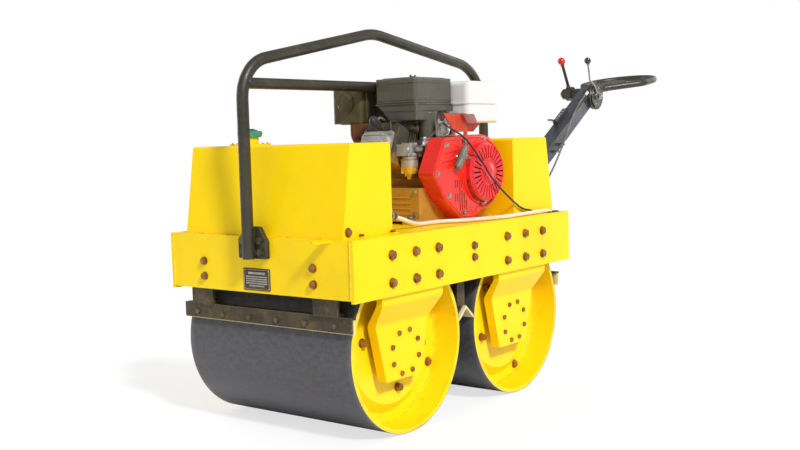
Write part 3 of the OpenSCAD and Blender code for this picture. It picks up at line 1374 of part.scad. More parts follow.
module travel_lever() color([0.12, 0.12, 0.12]) at_mid() on_tiller() translate([-cross_at, 0, 0])
    rotate([0, -arm_angle, 0]) {
        mid_y = (travel_hub_y[0] + travel_hub_y[1]) / 2;
        tip = [travel_tip[0], mid_y, travel_tip[1]];
        difference() {
            union() {
                rod_y(travel_hub_r, travel_hub_y[0], travel_hub_y[1]);
                bar([0, mid_y, 0], tip, travel_rod_r);
            }
            rod_y(cross_r + run_gap, travel_hub_y[0] - over, travel_hub_y[1] + over);
        }
    }
module travel_knob() color([0.9, 0.12, 0.08]) at_mid() on_tiller() translate([-cross_at, 0, 0])
    rotate([0, -arm_angle, 0]) {
    mid_y = (travel_hub_y[0] + travel_hub_y[1]) / 2;
    tip = [travel_tip[0], mid_y, travel_tip[1]];
    difference() {
        translate(tip) sphere(travel_ball_r);
        bar([0, mid_y, 0], tip, travel_rod_r);
    }
}

// Bent rod of the throttle lever, its lower end in the hub
module throttle_rod(y) {
    points = [for (q = [[0, 0], throttle_bend, throttle_elbow, throttle_tip]) [q[0], y, q[1]]];
    for (i = [0 : len(points) - 2]) bar(points[i], points[i + 1], throttle_rod_r);
    for (i = [1 : len(points) - 2]) translate(points[i]) sphere(throttle_rod_r + throttle_knuckle);
}
module at_disc() on_tiller() translate([-disc_at, 0, 0]) rotate([0, -arm_angle, 0]) children();
module throttle_lever() color([0.62, 0.6, 0.56]) at_mid() at_disc() difference() {
    union() {
        rod_y(throttle_hub_r, throttle_y, throttle_y + throttle_hub_t);
        throttle_rod(throttle_y + throttle_hub_t / 2);
    }
    rod_y(throttle_pin_r + run_gap, throttle_y - over, throttle_y + throttle_hub_t + over);
}
module throttle_knob() color([0.16, 0.16, 0.18]) at_mid() at_disc() difference() {
    translate([throttle_tip[0], throttle_y + throttle_hub_t / 2, throttle_tip[1]]) sphere(throttle_ball_r);
    throttle_rod(throttle_y + throttle_hub_t / 2);
}

frame();
front_tank();
tank_cap();
rear_hood();
lift_bar();
lift_bar_bolts();
front_arm_left();
front_arm_right();
rear_arm_left();
rear_arm_right();
chassis_bolts_left();
chassis_bolts_right();
flange_bolts_left();
flange_bolts_right();
front_hub_left();
rear_hub_left();
front_hub_right();
rear_hub_right();
front_drum();
rear_drum();
front_dish_bolts();
rear_dish_bolts();
front_exciter();
rear_exciter();
scraper_beams();
scraper_blades();
scraper_bolts();
sprinkler_pipes();
engine_block();
head_cover();
fan_shroud();
recoil_cover();
flywheel();
starter_grip();
muffler();
exhaust_pipe();
air_box();
air_lid();
carburettor();
float_bowl();
fuel_tank();
fuel_cap();
tank_stays();
governor_plate();
spark_lead();
pump();
pump_pulley();
drive_belt();
white_hose();
engine_cable();
throttle_cable();
handle_bracket();
handle_pin();
handle_arm();
hand_ring();
control_head();
travel_lever();
travel_knob();
throttle_lever();
throttle_knob();
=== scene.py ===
"""Looks of a walk behind vibratory roller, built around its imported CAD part.

The CAD nodes keep their shapes and get their finishes here. Everything too small for the CAD is made here as
surfaces worked out with numpy: weld beads, small fasteners, ribs, springs, clamps, cords and the bare nameplate.
The row frame is in metres: +X forward, +Y to the left, +Z up, the ground at zero. Places are written in
millimetres, and at() and deck() turn them into the frame. Radii and thicknesses are in metres.
"""
from __future__ import annotations

import logging
import math
from dataclasses import dataclass
from enum import Enum
from typing import Iterator, Optional, Sequence, Union

import bmesh
import bpy
import numpy as np
from mathutils import Matrix, Vector


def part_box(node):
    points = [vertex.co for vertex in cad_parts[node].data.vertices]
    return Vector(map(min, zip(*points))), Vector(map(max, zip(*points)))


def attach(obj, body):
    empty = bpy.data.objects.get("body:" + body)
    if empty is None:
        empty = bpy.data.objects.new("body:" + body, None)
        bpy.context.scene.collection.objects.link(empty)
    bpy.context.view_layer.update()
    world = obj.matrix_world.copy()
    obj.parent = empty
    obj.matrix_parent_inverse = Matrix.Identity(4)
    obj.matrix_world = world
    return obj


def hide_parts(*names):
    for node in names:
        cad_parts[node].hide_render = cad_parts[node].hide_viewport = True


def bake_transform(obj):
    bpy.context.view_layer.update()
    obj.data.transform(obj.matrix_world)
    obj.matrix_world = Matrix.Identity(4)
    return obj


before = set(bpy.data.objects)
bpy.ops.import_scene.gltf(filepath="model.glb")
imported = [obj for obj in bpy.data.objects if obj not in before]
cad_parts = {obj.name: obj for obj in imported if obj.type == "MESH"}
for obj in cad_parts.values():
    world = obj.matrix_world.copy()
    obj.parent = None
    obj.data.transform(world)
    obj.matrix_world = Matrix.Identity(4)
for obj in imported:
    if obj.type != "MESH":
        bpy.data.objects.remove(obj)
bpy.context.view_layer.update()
LOG = logging.getLogger("roller")

# Distance from the middle between the axles to the middle of the overall box, along X
MIDDLE = 0.580286
# Height of the deck's upper face
DECK = 0.545
# Distance between two ripples of a weld bead
PITCH = 0.005
# Turn in degrees above which an edge stays sharp
SHARP = 38.0
# Signs of four places that mirror each other
SIGNS = ((-1, -1), (-1, 1), (1, -1), (1, 1))


class Axis(Enum):
    """Direction along which a turned piece or a bolt stands, as its unit vector."""

    X = (1.0, 0.0, 0.0)
    Y = (0.0, 1.0, 0.0)
    Z = (0.0, 0.0, 1.0)
    BACK = (-1.0, 0.0, 0.0)
    RIGHT = (0.0, -1.0, 0.0)
    DOWN = (0.0, 0.0, -1.0)


# Sign of Y on each side of the machine, and the way out of that side
SIDES = ((-1, Axis.RIGHT), (1, Axis.Y))

Colour = tuple[int, int, int]
Point = tuple[float, float, float]
Direction = Union[Axis, Sequence[float]]
Socket = bpy.types.NodeSocket


def at(x: float, y: float, z: float) -> Point:
    """Point in metres of one in millimetres that is measured from the middle between the axles."""
    return (x / 1000.0 + MIDDLE, y / 1000.0, z / 1000.0)


def deck(x: float, y: float, z: float) -> Point:
    """As at(), with the height measured from the deck's upper face."""
    return (x / 1000.0 + MIDDLE, y / 1000.0, z / 1000.0 + DECK)


def vector(direction: Direction) -> np.ndarray:
    """Array of a direction, which may be named by an Axis."""
    return np.asarray(direction.value if isinstance(direction, Axis) else direction, float)


def basis(direction: Direction, up: Direction = Axis.Z) -> np.ndarray:
    """Three unit vectors as rows: two across the direction and the direction itself.

    Args:
        direction: any vector.
        up: a vector that isn't along the direction, or else another is taken.
    Returns:
        Array of 3 by 3: the first row is up crossed with the direction, the last is the direction.
    """
    along = vector(direction)
    along = along / np.linalg.norm(along)
    hint = vector(up)
    if abs(along @ hint) > 0.95:
        hint = vector(Axis.X if abs(along[0]) < 0.9 else Axis.Y)
    across = np.cross(hint, along)
    across /= np.linalg.norm(across)
    return np.stack([across, np.cross(along, across), along])


def smooth_route(points: Sequence[Point], steps: int) -> np.ndarray:
    """Smooth curve through given points.

    Each stretch is the cubic that passes through its two ends, with the slope at each end half of the vector
    between the neighbours of that end.

    Args:
        points: the points that the curve passes through.
        steps: number of chords between two points.
    Returns:
        Array of points, n by 3.
    """
    p = np.asarray(points, float)
    a, b, c, d = (p[np.clip(np.arange(len(p) - 1) + k, 0, len(p) - 1)][:, None] for k in (-1, 0, 1, 2))
    t = (np.arange(steps) / steps)[None, :, None]
    q = (2 * b + (c - a) * t + (2 * a - 5 * b + 4 * c - d) * t ** 2 + (3 * b - a - 3 * c + d) * t ** 3) / 2
    return np.vstack([q.reshape(-1, 3), p[-1:]])


def circle(centre: Point, axis: Direction, radius: float, count: int = 60) -> np.ndarray:
    """Points of a circle: centre + radius (cos a u + sin a v)."""
    u, v, _ = basis(axis)
    a = np.arange(count)[:, None] * 2 * np.pi / count
    return np.asarray(centre, float) + radius * (np.cos(a) * u + np.sin(a) * v)


def straight(a: Point, b: Point, count: int = 2) -> np.ndarray:
    """Points of a straight line from a to b."""
    t = np.linspace(0, 1, count)[:, None]
    return np.asarray(a, float) * (1 - t) + np.asarray(b, float) * t


def spiral(a: Point, b: Point, radius: float, turns: float, count: int = 160) -> np.ndarray:
    """Points of a coil from a to b: the line between them plus radius (cos 2 pi n t u + sin 2 pi n t v)."""
    u, v, _ = basis(np.asarray(b) - np.asarray(a))
    t = np.linspace(0, 1, count)[:, None]
    return straight(a, b, count) + radius * (np.cos(2 * np.pi * turns * t) * u + np.sin(2 * np.pi * turns * t) * v)


def frame_loop(corners: Sequence[Point], radius: float) -> np.ndarray:
    """Closed line through flat corners, each drawn as the curve (1 - t)^2 a + 2 t (1 - t) c + t^2 b.

    Args:
        corners: the corners in order; c is one of them.
        radius: how far from the corner its curve starts at a and ends at b.
    Returns:
        Array of points.
    """
    c = np.asarray(corners, float)
    back, on = np.roll(c, 1, axis=0) - c, np.roll(c, -1, axis=0) - c
    a, b = (c + way / np.linalg.norm(way, axis=1, keepdims=True) * radius for way in (back, on))
    t = np.linspace(0, 1, 6)[None, :, None]
    return ((1 - t) ** 2 * a[:, None] + 2 * t * (1 - t) * c[:, None] + t ** 2 * b[:, None]).reshape(-1, 3)


def corners(x0: float, y0: float, x1: float, y1: float) -> tuple[tuple[float, float], ...]:
    """Corners of a rectangle, in order."""
    return (x0, y0), (x1, y0), (x1, y1), (x0, y1)


def level(x0: float, y0: float, x1: float, y1: float, z: float) -> list[Point]:
    """Corners of a level rectangle at a height over the deck."""
    return [deck(x, y, z) for x, y in corners(x0, y0, x1, y1)]


def around(radius: float, count: int, first: float) -> Iterator[tuple[int, float, float]]:
    """Number and two offsets of each of some places spread evenly round a circle, from a first angle in degrees."""
    for k in range(count):
        t = math.radians(first + k * 360 / count)
        yield k, radius * math.cos(t), radius * math.sin(t)


class Surface:
    """Points and faces of one or more grids, gathered for one mesh."""

    def __init__(self) -> None:
        """Starts empty."""
        self.points: list[np.ndarray] = []
        self.faces: list[np.ndarray] = []
        self.count = 0

    def grid(self, p: np.ndarray, round_u: bool = False, round_v: bool = False, ends: bool = False) -> None:
        """Adds a grid of points as quads, where face (i, j) joins points i, i + 1 and j, j + 1.

        Args:
            p: array of n by m by 3.
            round_u: joins the last row to the first.
            round_v: joins the last column to the first.
            ends: closes the first and last row with a fan to their middle.
        """
        if ends:
            first, last = (np.broadcast_to(row.mean(axis=0), row.shape)[None] for row in (p[0], p[-1]))
            p = np.concatenate([first, p, last])
        n, m = p.shape[:2]
        index = np.arange(n * m).reshape(n, m) + self.count
        if round_u:
            index = np.vstack([index, index[:1]])
        if round_v:
            index = np.hstack([index, index[:, :1]])
        quads = np.stack([index[:-1, :-1], index[1:, :-1], index[1:, 1:], index[:-1, 1:]], axis=-1)
        self.points.append(p.reshape(-1, 3))
        self.faces.append(quads.reshape(-1, 4))
        self.count += n * m

    def tube(self, route: np.ndarray, radius: np.ndarray | float, sides: int = 10, loop: bool = False,
             up: Direction = Axis.Z) -> None:
        """Adds a circle carried along a route: point = route(s) + r(s) (cos a u + sin a v).

        Args:
            route: points of the middle line.
            radius: one radius, or one at each point.
            sides: number of sides of the circle.
            loop: whether the route closes on itself.
            up: a vector that the route is never along; u lies across it.
        """
        if loop:
            slope = np.roll(route, -1, axis=0) - np.roll(route, 1, axis=0)
        else:
            slope = np.gradient(route, axis=0)
        slope = slope / np.linalg.norm(slope, axis=1, keepdims=True)
        u = np.cross(np.broadcast_to(vector(up), slope.shape), slope)
        u = u / np.maximum(np.linalg.norm(u, axis=1, keepdims=True), 1e-9)
        v = np.cross(slope, u)
        a = (np.arange(sides) * 2 * np.pi / sides)[None, :, None]
        r = np.broadcast_to(np.asarray(radius, float), (len(route),))[:, None, None]
        ring = np.cos(a) * u[:, None] + np.sin(a) * v[:, None]
        self.grid(route[:, None] + r * ring, round_u=loop, round_v=True, ends=not loop)

    def rod(self, a: Point, b: Point, radius: float, sides: int = 8, count: int = 4, up: Direction = Axis.Z) -> None:
        """Adds a straight round rod of a number of rings."""
        self.tube(straight(a, b, count), radius, sides, up=up)

    def ring(self, centre: Point, axis: Direction, radius: float, thick: float, sides: int, count: int) -> None:
        """Adds a round ring about an axis; thick is the radius of its section."""
        self.tube(circle(centre, axis, radius, count), thick, sides, True, axis)

    def outline(self, points: Sequence[Point], corner: float, thick: float, sides: int = 8,
                up: Direction = Axis.Z) -> None:
        """Adds a round ridge along a closed line with rounded corners; thick is the radius of its section."""
        self.tube(frame_loop(points, corner), thick, sides, True, up)

    def weld(self, route: np.ndarray, radius: float, seed: int, up: Direction = Axis.Z, loop: bool = False,
             pitch: float = PITCH) -> None:
        """Adds a weld bead along a route: a tube whose radius ripples at each drop of metal.

        r(s) = R (1 + 0.16 |cos(pi s / pitch)| + 0.08 n(s)), where n is a smooth noise of three sines.

        Args:
            route: its middle line.
            radius: its mean radius, R.
            seed: picks the phases of the noise.
            up: a vector that the route is never along.
            loop: whether it closes on itself.
            pitch: distance between two ripples.
        """
        line = np.vstack([route, route[:1]]) if loop else route
        steps = np.linalg.norm(np.diff(line, axis=0), axis=1)
        total = steps.sum()
        t = np.linspace(0, total, max(int(total / pitch * 3), 6), endpoint=not loop)
        s = np.concatenate([[0], np.cumsum(steps)])
        dense = np.stack([np.interp(t, s, line[:, k]) for k in range(3)], axis=1)
        phase = np.random.default_rng(seed).uniform(0, 6.28, 3)
        noise = sum(np.sin(t / pitch * f + q) for f, q in zip((0.9, 1.7, 2.9), phase)) / 3
        r = radius * (1 + 0.16 * np.abs(np.cos(np.pi * t / pitch)) + 0.08 * noise)
        self.tube(dense, r, 6, loop, up)

    def turned(self, profile: Sequence[tuple[float, float]], centre: Point, axis: Direction,
               steps: int = 24, corners: int = 0, turn: float = 0.0, ribs: float = 0.0) -> None:
        """Adds a profile turned about an axis: point = centre + h axis + r k(a) (cos a u + sin a v).

        k(a) is 1 for a round piece, the polar radius of a regular polygon for one with corners, and
        1 + ribs cos(steps a / 4) for one with ribs.

        Args:
            profile: pairs of radius and height along the axis.
            centre: the point at height zero.
            axis: the direction of the height.
            steps: number of steps around.
            corners: number of corners, or 0 for round.
            turn: turn of the section in degrees.
            ribs: height of the ribs as a share of the radius.
        """
        u, v, w = basis(axis)
        a = np.arange(steps) * 2 * np.pi / steps
        k = np.ones(steps)
        if corners:
            half = np.pi / corners
            k = math.cos(half) / np.cos(np.mod(a, 2 * half) - half)
        if ribs:
            k = k * (1 + ribs * np.cos(steps * a / 4))
        b = a + math.radians(turn)
        ring = np.cos(b)[:, None] * u + np.sin(b)[:, None] * v
        rh = np.asarray(profile, float)
        p = np.asarray(centre, float) + rh[:, 1, None, None] * w + rh[:, 0, None, None] * (k[:, None] * ring)[None]
        self.grid(p, round_v=True, ends=True)

    def slab(self, centre: Point, size: tuple[float, float, float], edge: float,
             turn: Union[Axis, np.ndarray, None] = None, round_corner: float = 0.0) -> None:
        """Adds a plate with soft edges: a rounded rectangle scaled in at its two faces.

        The outline is a rectangle whose corners are quarter circles, and each layer of the plate is that outline
        drawn in by e (1 - cos a) at a height that falls short of the face by e (1 - sin a).

        Args:
            centre: its middle.
            size: its length along the first, second and third rows of turn.
            edge: radius of its edges, e.
            turn: the way its face looks, or three unit vectors as rows, or none for X, Y and Z.
            round_corner: radius of the outline's corners, or 0 for that of the edges.
        """
        if isinstance(turn, Axis):
            turn = basis(turn, Axis.Y if turn is Axis.Z else Axis.Z)
        half = np.asarray(size, float) / 2
        corner = max(round_corner, edge)
        chords = 3
        angle = (np.arange(4) * np.pi / 2)[:, None] + np.linspace(0, np.pi / 2, chords + 1)[None]
        sign = np.array([[1, 1], [-1, 1], [-1, -1], [1, -1]], float)[:, None]
        layers = np.concatenate([-np.linspace(1, 0, chords + 1), np.linspace(0, 1, chords + 1)])
        lean = np.arcsin(np.abs(layers))
        height = np.where(layers < 0, -1.0, 1.0) * (half[2] - edge * (1 - np.sin(lean)))
        radius = np.maximum(corner - edge * (1 - np.cos(lean)), 1e-5)[:, None, None]
        x = sign[None, ..., 0] * (half[0] - corner) + radius * np.cos(angle)[None]
        y = sign[None, ..., 1] * (half[1] - corner) + radius * np.sin(angle)[None]
        z = np.broadcast_to(height[:, None, None], x.shape)
        p = np.stack([x, y, z], axis=-1).reshape(len(layers), -1, 3)
        self.grid(p @ (np.eye(3) if turn is None else turn) + np.asarray(centre, float), round_v=True, ends=True)

    def bolt(self, centre: Point, axis: Direction, radius: float, height: float, turn: float = 0.0) -> None:
        """Adds a bolt head: a washer, and a hexagon whose top edge is turned off.

        Args:
            centre: the middle of its seat.
            axis: the direction in which it stands out.
            radius: from the middle to a corner.
            height: its height.
            turn: its turn in degrees.
        """
        w = basis(axis)[2]
        seat, rim = 0.18 * height, 1.35 * radius
        self.turned([(rim, -0.0002), (rim, seat * 0.7), (rim * 0.95, seat), (0.3 * radius, seat)], centre, w, 20)
        self.turned([(radius, 0.0), (radius, height * 0.78), (radius * 0.9, height * 0.97), (radius * 0.82, height)],
                    np.asarray(centre, float) + seat * w, w, 24, corners=6, turn=turn)

    def screw(self, centre: Point, axis: Direction, radius: float) -> None:
        """Adds a domed screw head with a shallow dish in its top, its height 0.6 of its radius."""
        dome = [(radius * math.cos(t), 0.6 * radius * math.sin(t)) for t in np.linspace(0, np.pi / 2, 5)[:-1]]
        self.turned([(radius, -0.0004), *dome, (radius * 0.3, 0.58 * radius), (radius * 0.22, 0.36 * radius)],
                    centre, axis, 16)

    def collar(self, centre: Point, axis: Direction, inner: float, outer: float, height: float,
               steps: int = 28) -> None:
        """Adds a ring with rounded outer edges: a square section carried round, open at its middle."""
        edge = min(height, outer - inner) * 0.25
        rh = np.array([(inner, 0.0), (outer - edge, 0.0), (outer, edge), (outer, height - edge),
                       (outer - edge, height), (inner, height)])[:, None]
        u, v, w = basis(axis)
        a = np.arange(steps)[None, :, None] * 2 * np.pi / steps
        self.grid(np.asarray(centre, float) + rh[..., 1:] * w + rh[..., :1] * (np.cos(a) * u + np.sin(a) * v),
                  round_u=True, round_v=True)


def srgb(red: float, green: float, blue: float) -> tuple[float, ...]:
    """Linear colour, from 0 to 1, of a written one whose parts go from 0 to 255."""
    parts = (v / 255.0 for v in (red, green, blue))
    return tuple(v / 12.92 if v <= 0.04045 else ((v + 0.055) / 1.055) ** 2.4 for v in parts)


def add_node(tree: bpy.types.NodeTree, kind: str, values: Optional[dict] = None, **settings: object) -> bpy.types.Node:
    """Adds a node to a tree.

    Args:
        tree: the tree.
        kind: the node's type after "ShaderNode".
        values: socket name or number to a constant or a socket.
        settings: properties of the node.
    Returns:
        The node.
    """
    made = tree.nodes.new("ShaderNode" + kind)
    for key, value in settings.items():
        setattr(made, key, value)
    for key, value in (values or {}).items():
        if isinstance(value, Socket):
            tree.links.new(value, made.inputs[key])
        else:
            made.inputs[key].default_value = value
    return made


class Graph:
    """A material under construction, with short names for the nodes that the finishes use."""

    def __init__(self, name: str) -> None:
        """Starts a material of that name without nodes."""
        self.material = bpy.data.materials.new(name)
        self.material.use_nodes = True
        self.material.node_tree.nodes.clear()

    def node(self, kind: str, values: Optional[dict] = None, **settings: object) -> bpy.types.Node:
        """Adds a node, as add_node() does."""
        return add_node(self.material.node_tree, kind, values, **settings)

    def place(self, scale: Sequence[float] = (1, 1, 1), shift: Sequence[float] = (0, 0, 0)) -> Socket:
        """Object coordinates, shifted and then scaled."""
        coordinates = self.node("TexCoord").outputs["Object"]
        return self.node("Mapping", {"Vector": coordinates, "Location": shift, "Scale": scale}).outputs["Vector"]

    def math(self, operation: str, a: Socket | float, b: Socket | float = 0.0, clamp: bool = False) -> Socket:
        """One operation on two values."""
        return self.node("Math", {0: a, 1: b}, operation=operation, use_clamp=clamp).outputs[0]

    def noise(self, vector: Socket, scale: float, detail: float = 3.0, rough: float = 0.55) -> Socket:
        """Smooth noise from 0 to 1."""
        values = {"Vector": vector, "Scale": scale, "Detail": detail, "Roughness": rough}
        return self.node("TexNoise", values).outputs["Fac"]

    def ranged(self, value: Socket, low: float, high: float, to_low: float = 0.0, to_high: float = 1.0) -> Socket:
        """Maps low..high to to_low..to_high, and holds the ends."""
        values = {"Value": value, "From Min": low, "From Max": high, "To Min": to_low, "To Max": to_high}
        return self.node("MapRange", values).outputs["Result"]

    def mix(self, share: Socket, a: Socket | Colour, b: Socket | Colour) -> Socket:
        """Colour between a and b, each a socket or a written colour."""
        ends = [v if isinstance(v, Socket) else (*srgb(*v), 1.0) for v in (a, b)]
        return self.node("Mix", {0: share, 6: ends[0], 7: ends[1]}, data_type="RGBA").outputs[2]

    def edges(self, width: float) -> Socket:
        """Share of wear at an edge: 1 minus the cosine between the face and its rounded normal, made stronger."""
        rounded = self.node("Bevel", {"Radius": width}, samples=4).outputs["Normal"]
        face = self.node("NewGeometry").outputs["Normal"]
        cosine = self.node("VectorMath", {0: rounded, 1: face}, operation="DOT_PRODUCT").outputs["Value"]
        return self.ranged(self.math("SUBTRACT", 1.0, cosine), 0.01, 0.16)

    def finish(self, colour: Socket, rough: Socket, relief: dict[str, Socket | float], metallic: float = 0.0,
               coat: float = 0.0, sheen: float = 0.0, specular: float = 0.5) -> bpy.types.Material:
        """Wires the shader and returns the material.

        Args:
            colour: base colour.
            rough: roughness.
            relief: values of the bump: its height, its distance, and a normal to start from if there is one.
            metallic, coat, sheen, specular: constants of the shader.
        Returns:
            The material.
        """
        normal = self.node("Bump", {**relief, "Strength": 1.0}).outputs["Normal"]
        shader = self.node("BsdfPrincipled", {
            "Base Color": colour, "Roughness": rough, "Normal": normal, "Metallic": metallic, "Coat Weight": coat,
            "Coat Roughness": 0.12, "Sheen Weight": sheen, "Specular IOR Level": specular})
        self.node("OutputMaterial", {"Surface": shader.outputs["BSDF"]})
        return self.material


YELLOW = (255, 220, 2)
YELLOW_TONE = (253, 211, 0)


@dataclass(frozen=True)
class Finish:
    """A surface with slow changes of tone, fine grain, specks of dirt and worn edges.

    Dirt is a written colour with its share, and worn is a written colour with its share and its width. Slot is the
    record's slot that it stands for, which nothing here reads, and nodes names the CAD nodes that it covers.
    """

    name: str
    colour: Colour
    tone: Colour
    rough: tuple[float, float] = (0.35, 0.5)
    metallic: float = 0.0
    coat: float = 0.0
    sheen: float = 0.0
    specular: float = 0.5
    patch: float = 30.0
    grain: float = 420.0
    relief: float = 0.0002
    stretch: tuple[float, float, float] = (1.0, 1.0, 1.0)
    rounded: float = 0.0
    dirt: Optional[tuple[float, ...]] = None
    worn: Optional[tuple[float, ...]] = None
    slot: str = ""
    nodes: str = ""

    def colour_of(self, g: Graph, place: Socket) -> Socket:
        """Colour before dirt and wear: the two tones mixed by slow noise."""
        return g.mix(g.ranged(g.noise(place, self.patch, 4.0), 0.35, 0.68), self.colour, self.tone)

    def height_of(self, g: Graph, place: Socket) -> Socket:
        """Height field of the surface: fine grain."""
        return g.noise(place, self.grain, 3.0, 0.6)

    def build(self) -> bpy.types.Material:
        """Makes the material.

        Returns:
            The finished material.
        """
        g = Graph(self.name)
        place, plain = g.place(self.stretch), g.place()
        colour = self.colour_of(g, place)
        rough = g.ranged(g.noise(place, self.patch * 4, 5.0), 0.3, 0.7, *self.rough)
        if self.dirt:
            *_, most = self.dirt
            broad = g.ranged(g.noise(plain, self.patch * 1.7, 6.0, 0.7), 0.52, 0.75, 0.0, most)
            specks = g.ranged(g.noise(plain, 190.0, 2.0, 0.8), 0.62, 0.72, 0.0, most)
            share = g.math("MAXIMUM", broad, specks, True)
            colour = g.mix(share, colour, self.dirt[:3])
            rough = g.math("ADD", rough, g.math("MULTIPLY", share, 0.3), True)
        if self.worn:
            *_, most, width = self.worn
            chip = g.ranged(g.noise(plain, 60.0, 5.0, 0.7), 0.42, 0.6)
            share = g.math("MULTIPLY", g.math("MULTIPLY", g.edges(width), chip), most, True)
            colour = g.mix(share, colour, self.worn[:3])
        relief = {"Height": self.height_of(g, place), "Distance": self.relief}
        if self.rounded:
            relief["Normal"] = g.node("Bevel", {"Radius": self.rounded}, samples=8).outputs["Normal"]
        return g.finish(colour, rough, relief, self.metallic, self.coat, self.sheen, self.specular)


@dataclass(frozen=True)
class DrumFinish(Finish):
    """Steel shell scuffed round the drum, with painted ends inside the rim."""

    centre: tuple[float, float] = (0.0, 0.0)
    radius: float = 0.2385

    def build(self) -> bpy.types.Material:
        """Makes the material: beyond the radius from the axle it is scuffed steel, and within it is paint."""
        g = Graph(self.name)
        place = g.place()
        parts = g.node("SeparateXYZ", {0: g.place(shift=(-self.centre[0], 0.0, -self.centre[1]))}).outputs
        x, y, z = (parts[k] for k in range(3))
        far = g.math("SQRT", g.math("ADD", g.math("MULTIPLY", x, x), g.math("MULTIPLY", z, z)))
        side = g.math("ABSOLUTE", y)
        turned = g.math("MULTIPLY", g.math("ARCTAN2", z, x), 0.35)
        swept = g.node("CombineXYZ", {0: turned, 1: y, 2: 0.0}).outputs[0]
        streak, scratch = g.noise(swept, 46.0, 6.0, 0.7), g.noise(swept, 420.0, 3.0, 0.75)
        cloud = g.noise(place, 7.0, 6.0, 0.65)
        steel = g.mix(g.ranged(streak, 0.38, 0.66), self.colour, self.tone)
        steel = g.mix(g.ranged(scratch, 0.6, 0.75, 0.0, 0.5), steel, (150, 152, 158))
        steel = g.mix(g.ranged(cloud, 0.55, 0.72, 0.0, 0.55), steel, (78, 66, 56))
        edge = g.math("MULTIPLY", g.ranged(side, 0.285, 0.303), g.ranged(cloud, 0.35, 0.6, 0.2, 0.8))
        steel = g.mix(edge, steel, (128, 124, 118))
        paint = g.mix(g.ranged(g.noise(place, 5.0, 4.0), 0.35, 0.7), YELLOW, YELLOW_TONE)
        grime = g.ranged(g.noise(place, 22.0, 6.0, 0.75), 0.56, 0.72, 0.0, 0.35)
        paint = g.mix(grime, paint, (150, 118, 40))
        rim = g.math("MULTIPLY", g.ranged(far, 0.2275, self.radius), g.ranged(cloud, 0.4, 0.62), True)
        rim = g.math("MULTIPLY", rim, g.ranged(side, 0.3005, 0.3015))
        paint = g.mix(g.math("MULTIPLY", rim, 0.5), paint, (140, 110, 60))
        colour = g.mix(g.ranged(far, self.radius, self.radius + 0.0006), paint, steel)
        dents = g.math("MULTIPLY", g.noise(place, 55.0, 4.0, 0.6), 1.2)
        height = g.math("ADD", g.math("MULTIPLY", scratch, 0.5), dents)
        rough = g.ranged(streak, 0.3, 0.7, *self.rough)
        return g.finish(colour, rough, {"Height": height, "Distance": 0.0004}, coat=0.05)


@dataclass(frozen=True)
class CastFinish(Finish):
    """Cast or blasted metal: coarse pits over fine grain."""

    pits: float = 240.0

    def height_of(self, g: Graph, place: Socket) -> Socket:
        """Coarse pits, from the distance to the nearest point of a random set, over fine grain."""
        cells = g.node("TexVoronoi", {"Vector": place, "Scale": self.pits, "Randomness": 1.0}).outputs["Distance"]
        return g.math("ADD", g.math("MULTIPLY", cells, 0.7), g.noise(place, self.grain, 4.0, 0.7))


@dataclass(frozen=True)
class PlatedFinish(Finish):
    """Zinc plate or brass with rust in spots."""

    rust: Colour = (104, 58, 30)
    rust_share: float = 0.6

    def colour_of(self, g: Graph, place: Socket) -> Socket:
        """Two tones of the plate, with rust where a coarse noise is high."""
        base = g.mix(g.ranged(g.noise(place, self.patch, 3.0), 0.35, 0.65), self.colour, self.tone)
        return g.mix(g.ranged(g.noise(place, 85.0, 6.0, 0.75), 0.53, 0.66, 0.0, self.rust_share), base, self.rust)


@dataclass(frozen=True)
class LayeredFinish(CastFinish):
    """Casting of one colour above a height, and below it a lower colour that paints the yellow deck's reflection."""

    # Lower colour: painted reflection of the yellow deck on the casting's lower part
    low: Colour = (236, 186, 40)
    height: float = 0.713
    blur: float = 0.001

    def colour_of(self, g: Graph, place: Socket) -> Socket:
        """Two tones of the upper colour above the height, and below it the lower colour, which is painted reflection.
        """
        upper = g.mix(g.ranged(g.noise(place, self.patch, 3.0), 0.35, 0.65), self.colour, self.tone)
        z = g.node("SeparateXYZ", {0: g.place()}).outputs[2]
        return g.mix(g.ranged(z, self.height - self.blur, self.height + self.blur), self.low, upper)


@dataclass(frozen=True)
class WovenFinish(Finish):
    """Outer braid of a cord: two crossing sets of ridges round it."""

    twist: float = 900.0

    def height_of(self, g: Graph, place: Socket) -> Socket:
        """Highest of two crossing waves."""
        waves = (g.node("TexWave", {"Vector": g.place((0.3, way * 0.3, 0.3)), "Scale": self.twist, "Distortion": 0.4},
                        wave_type="BANDS", bands_direction="DIAGONAL").outputs["Fac"] for way in (1, -1))
        return g.math("MAXIMUM", *waves)


